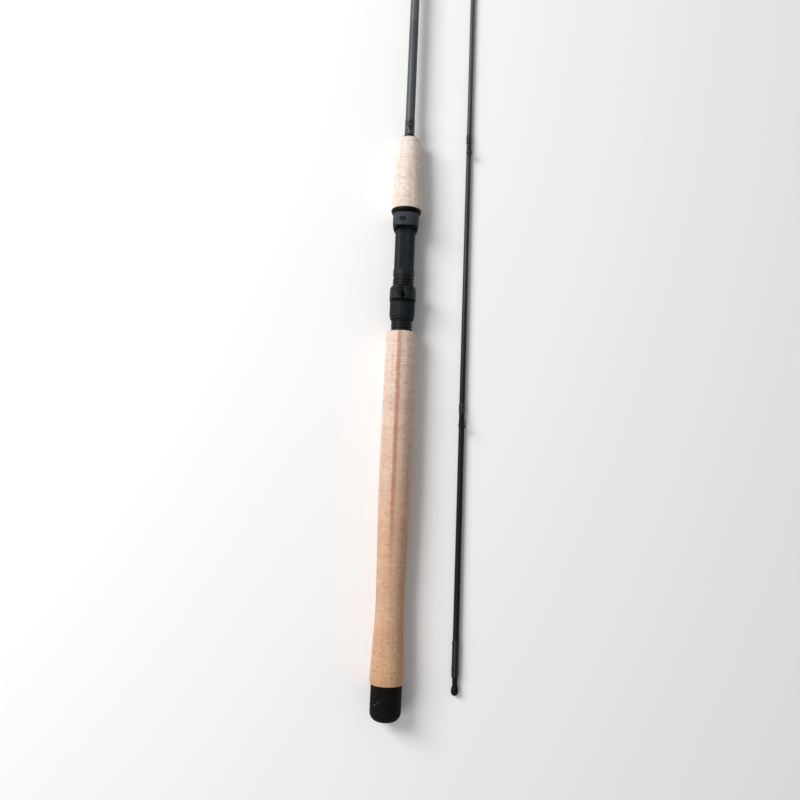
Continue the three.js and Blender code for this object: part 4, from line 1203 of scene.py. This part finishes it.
def hook_keeper():
    """A bound foot with an upright eye, and a loose ring that hangs in the eye."""
    eye = BUTT.local(joint("keeper_ring_swing")["pos_m"])
    low, high = BUTT.span("keeper_foot")
    wire_radius, eye_outside = 0.36, 1.45
    ring_radius, ring_wire = 2.75, 0.4
    base = BUTT_RADIUS(eye[1]) + 0.04
    half, top = 1.0, base + 0.6
    upright = leaned(hoop(eye_outside - wire_radius, wire_radius, 48), 90, eye, "Z")
    mesh = fused(together(upright, foot_shape(half, base, top, high - 2.2, low)), 0.09, 3)
    place("keeper_foot", mesh, STEEL, BUTT, sharp=60)
    lying = leaned(hoop(ring_radius, ring_wire, 72), 90, eye + (0, ring_radius, 0))
    place("keeper_ring", lying, STEEL, BUTT, "keeper_ring")
    binding("keeper_wrap", BUTT, BUTT_RADIUS, (half, top, low, eye[1] - 2.6), thickness=0.2)


# ------------------------ stage

# Millimetres from the butt section's lower end, and degrees.
CAMERA = {"station": 217.0, "side": 4.4, "height": 768.0, "tilt": 5.08, "turn": 2.4, "lens": 38.0}


def camera():
    """Above the grip, tilted a little towards the tip."""
    data = bpy.data.cameras.new("camera")
    data.lens = CAMERA["lens"]
    eye = added("camera", data)
    tilt, turn = math.radians(CAMERA["tilt"]), math.radians(CAMERA["turn"])
    flat_up = Vector((-math.sin(turn), math.cos(turn), 0))
    up = flat_up * math.cos(tilt) + Vector((0, 0, math.sin(tilt)))
    back = Vector((0, 0, math.cos(tilt))) - flat_up * math.sin(tilt)
    axes = Matrix((up.cross(back), up, back)).transposed().to_4x4()
    offset = Vector((CAMERA["side"], CAMERA["station"], CAMERA["height"])) * MM
    eye.matrix_world = Matrix.Translation(BUTT.matrix.translation + offset) @ axes
    bpy.context.scene.camera = eye


def lamp(name, position, target, size, power, color):
    data = bpy.data.lights.new(name, "AREA")
    data.shape = "RECTANGLE"
    data.size, data.size_y = size
    data.energy = power
    data.color = color
    light = added(name, data)
    light.location = position
    aim = Vector(target) - Vector(position)
    light.rotation_euler = aim.to_track_quat("-Z", "Y").to_euler()


WORLD_LIGHT = 0.32
PAPER, PAPER_ROUGHNESS, PAPER_HALF = 0.95, 0.9, 30.0


def studio():
    """Soft light from the lower left, a weak one from the left past the grip's end, and paper."""
    lamp("key", (-1.35, 0.4, 1.35), (0, -0.25, 0), (0.8, 1.2), 36, (1, 0.99, 0.98))
    lamp("fill", (-0.9, -1.2, 1.3), (0, -0.4, 0), (0.8, 0.8), 5, (1, 1, 1))
    world = bpy.data.worlds.new("studio")
    bpy.context.scene.world = world
    world.use_nodes = True
    background = world.node_tree.nodes["Background"]
    background.inputs["Color"].default_value = (1, 1, 1, 1)
    background.inputs["Strength"].default_value = WORLD_LIGHT
    paper = bpy.data.materials.new("paper")
    paper.use_nodes = True
    shader = paper.node_tree.nodes["Principled BSDF"]
    shader.inputs["Base Color"].default_value = (PAPER, PAPER, PAPER, 1)
    shader.inputs["Roughness"].default_value = PAPER_ROUGHNESS
    data = bpy.data.meshes.new("floor")
    signs = [(-1, -1), (1, -1), (1, 1), (-1, 1)]
    corners = [(x * PAPER_HALF, y * PAPER_HALF, 0) for x, y in signs]
    data.from_pydata(corners, [], [(0, 1, 2, 3)])
    data.materials.append(paper)
    floor = added("floor", data)
    bpy.context.scene.view_settings.view_transform = "Standard"


# ------------------------ the rod

KNOWN_PITS = [(281, -27, 2.0, 0.32), (175, 50, 1.4, 0.3), (121, -29, 1.7, 0.32),
              (120, 34, 1.5, 0.3), (100, 6, 1.3, 0.3), (35, -18, 1.5, 0.32), (44, 12, 1.0, 0.3),
              (44, 24, 0.9, 0.35), (45, 33, 0.8, 0.35), (40, 20, 0.9, 0.3), (52, -6, 1.1, 0.3),
              (60, 28, 1.2, 0.3)]
REAR_BORE, FORE_BORE = BUTT_RADIUS(REAR_SPAN[0]) + 0.2, BUTT_RADIUS(FORE_SPAN[0]) + 0.1

camera()
studio()
butt_cap()
rear_pits = KNOWN_PITS + random_spots(*REAR_SPAN, 70)
rear_pits += random_spots(REAR_SPAN[0] + 2, REAR_SPAN[0] + 90, 50)
cork_grip("rear_grip", REAR_CORK, 10.6, REAR_BORE, 5.5, SEAT_LOW - 0.2, rear_pits)
cork_grip("foregrip", FORE_CORK, 6.3, FORE_BORE, 4.5, None, random_spots(*FORE_SPAN, 14))
seat_body()
fixed_hood()
moving_hood()
lock_nut()
collar_ring()
winding_check()
arbors()
butt_blank()
spigot()
binding("butt_end_wrap", BUTT, BUTT_RADIUS)
hook_keeper()
for guide, guide_size in BUTT_GUIDES.items():
    butt_guide(guide, guide_size)
tip_blank()
socket_low = TIP.span("socket_wrap")[0]
lumps = ((socket_low + 7, 0.18), (socket_low + 30, 0.15))
binding("socket_wrap", TIP, TIP_RADIUS, thickness=0.3, waves=lumps)
ferrule_plug()
for guide_number in range(1, 7):
    running_guide(guide_number)
tip_top()
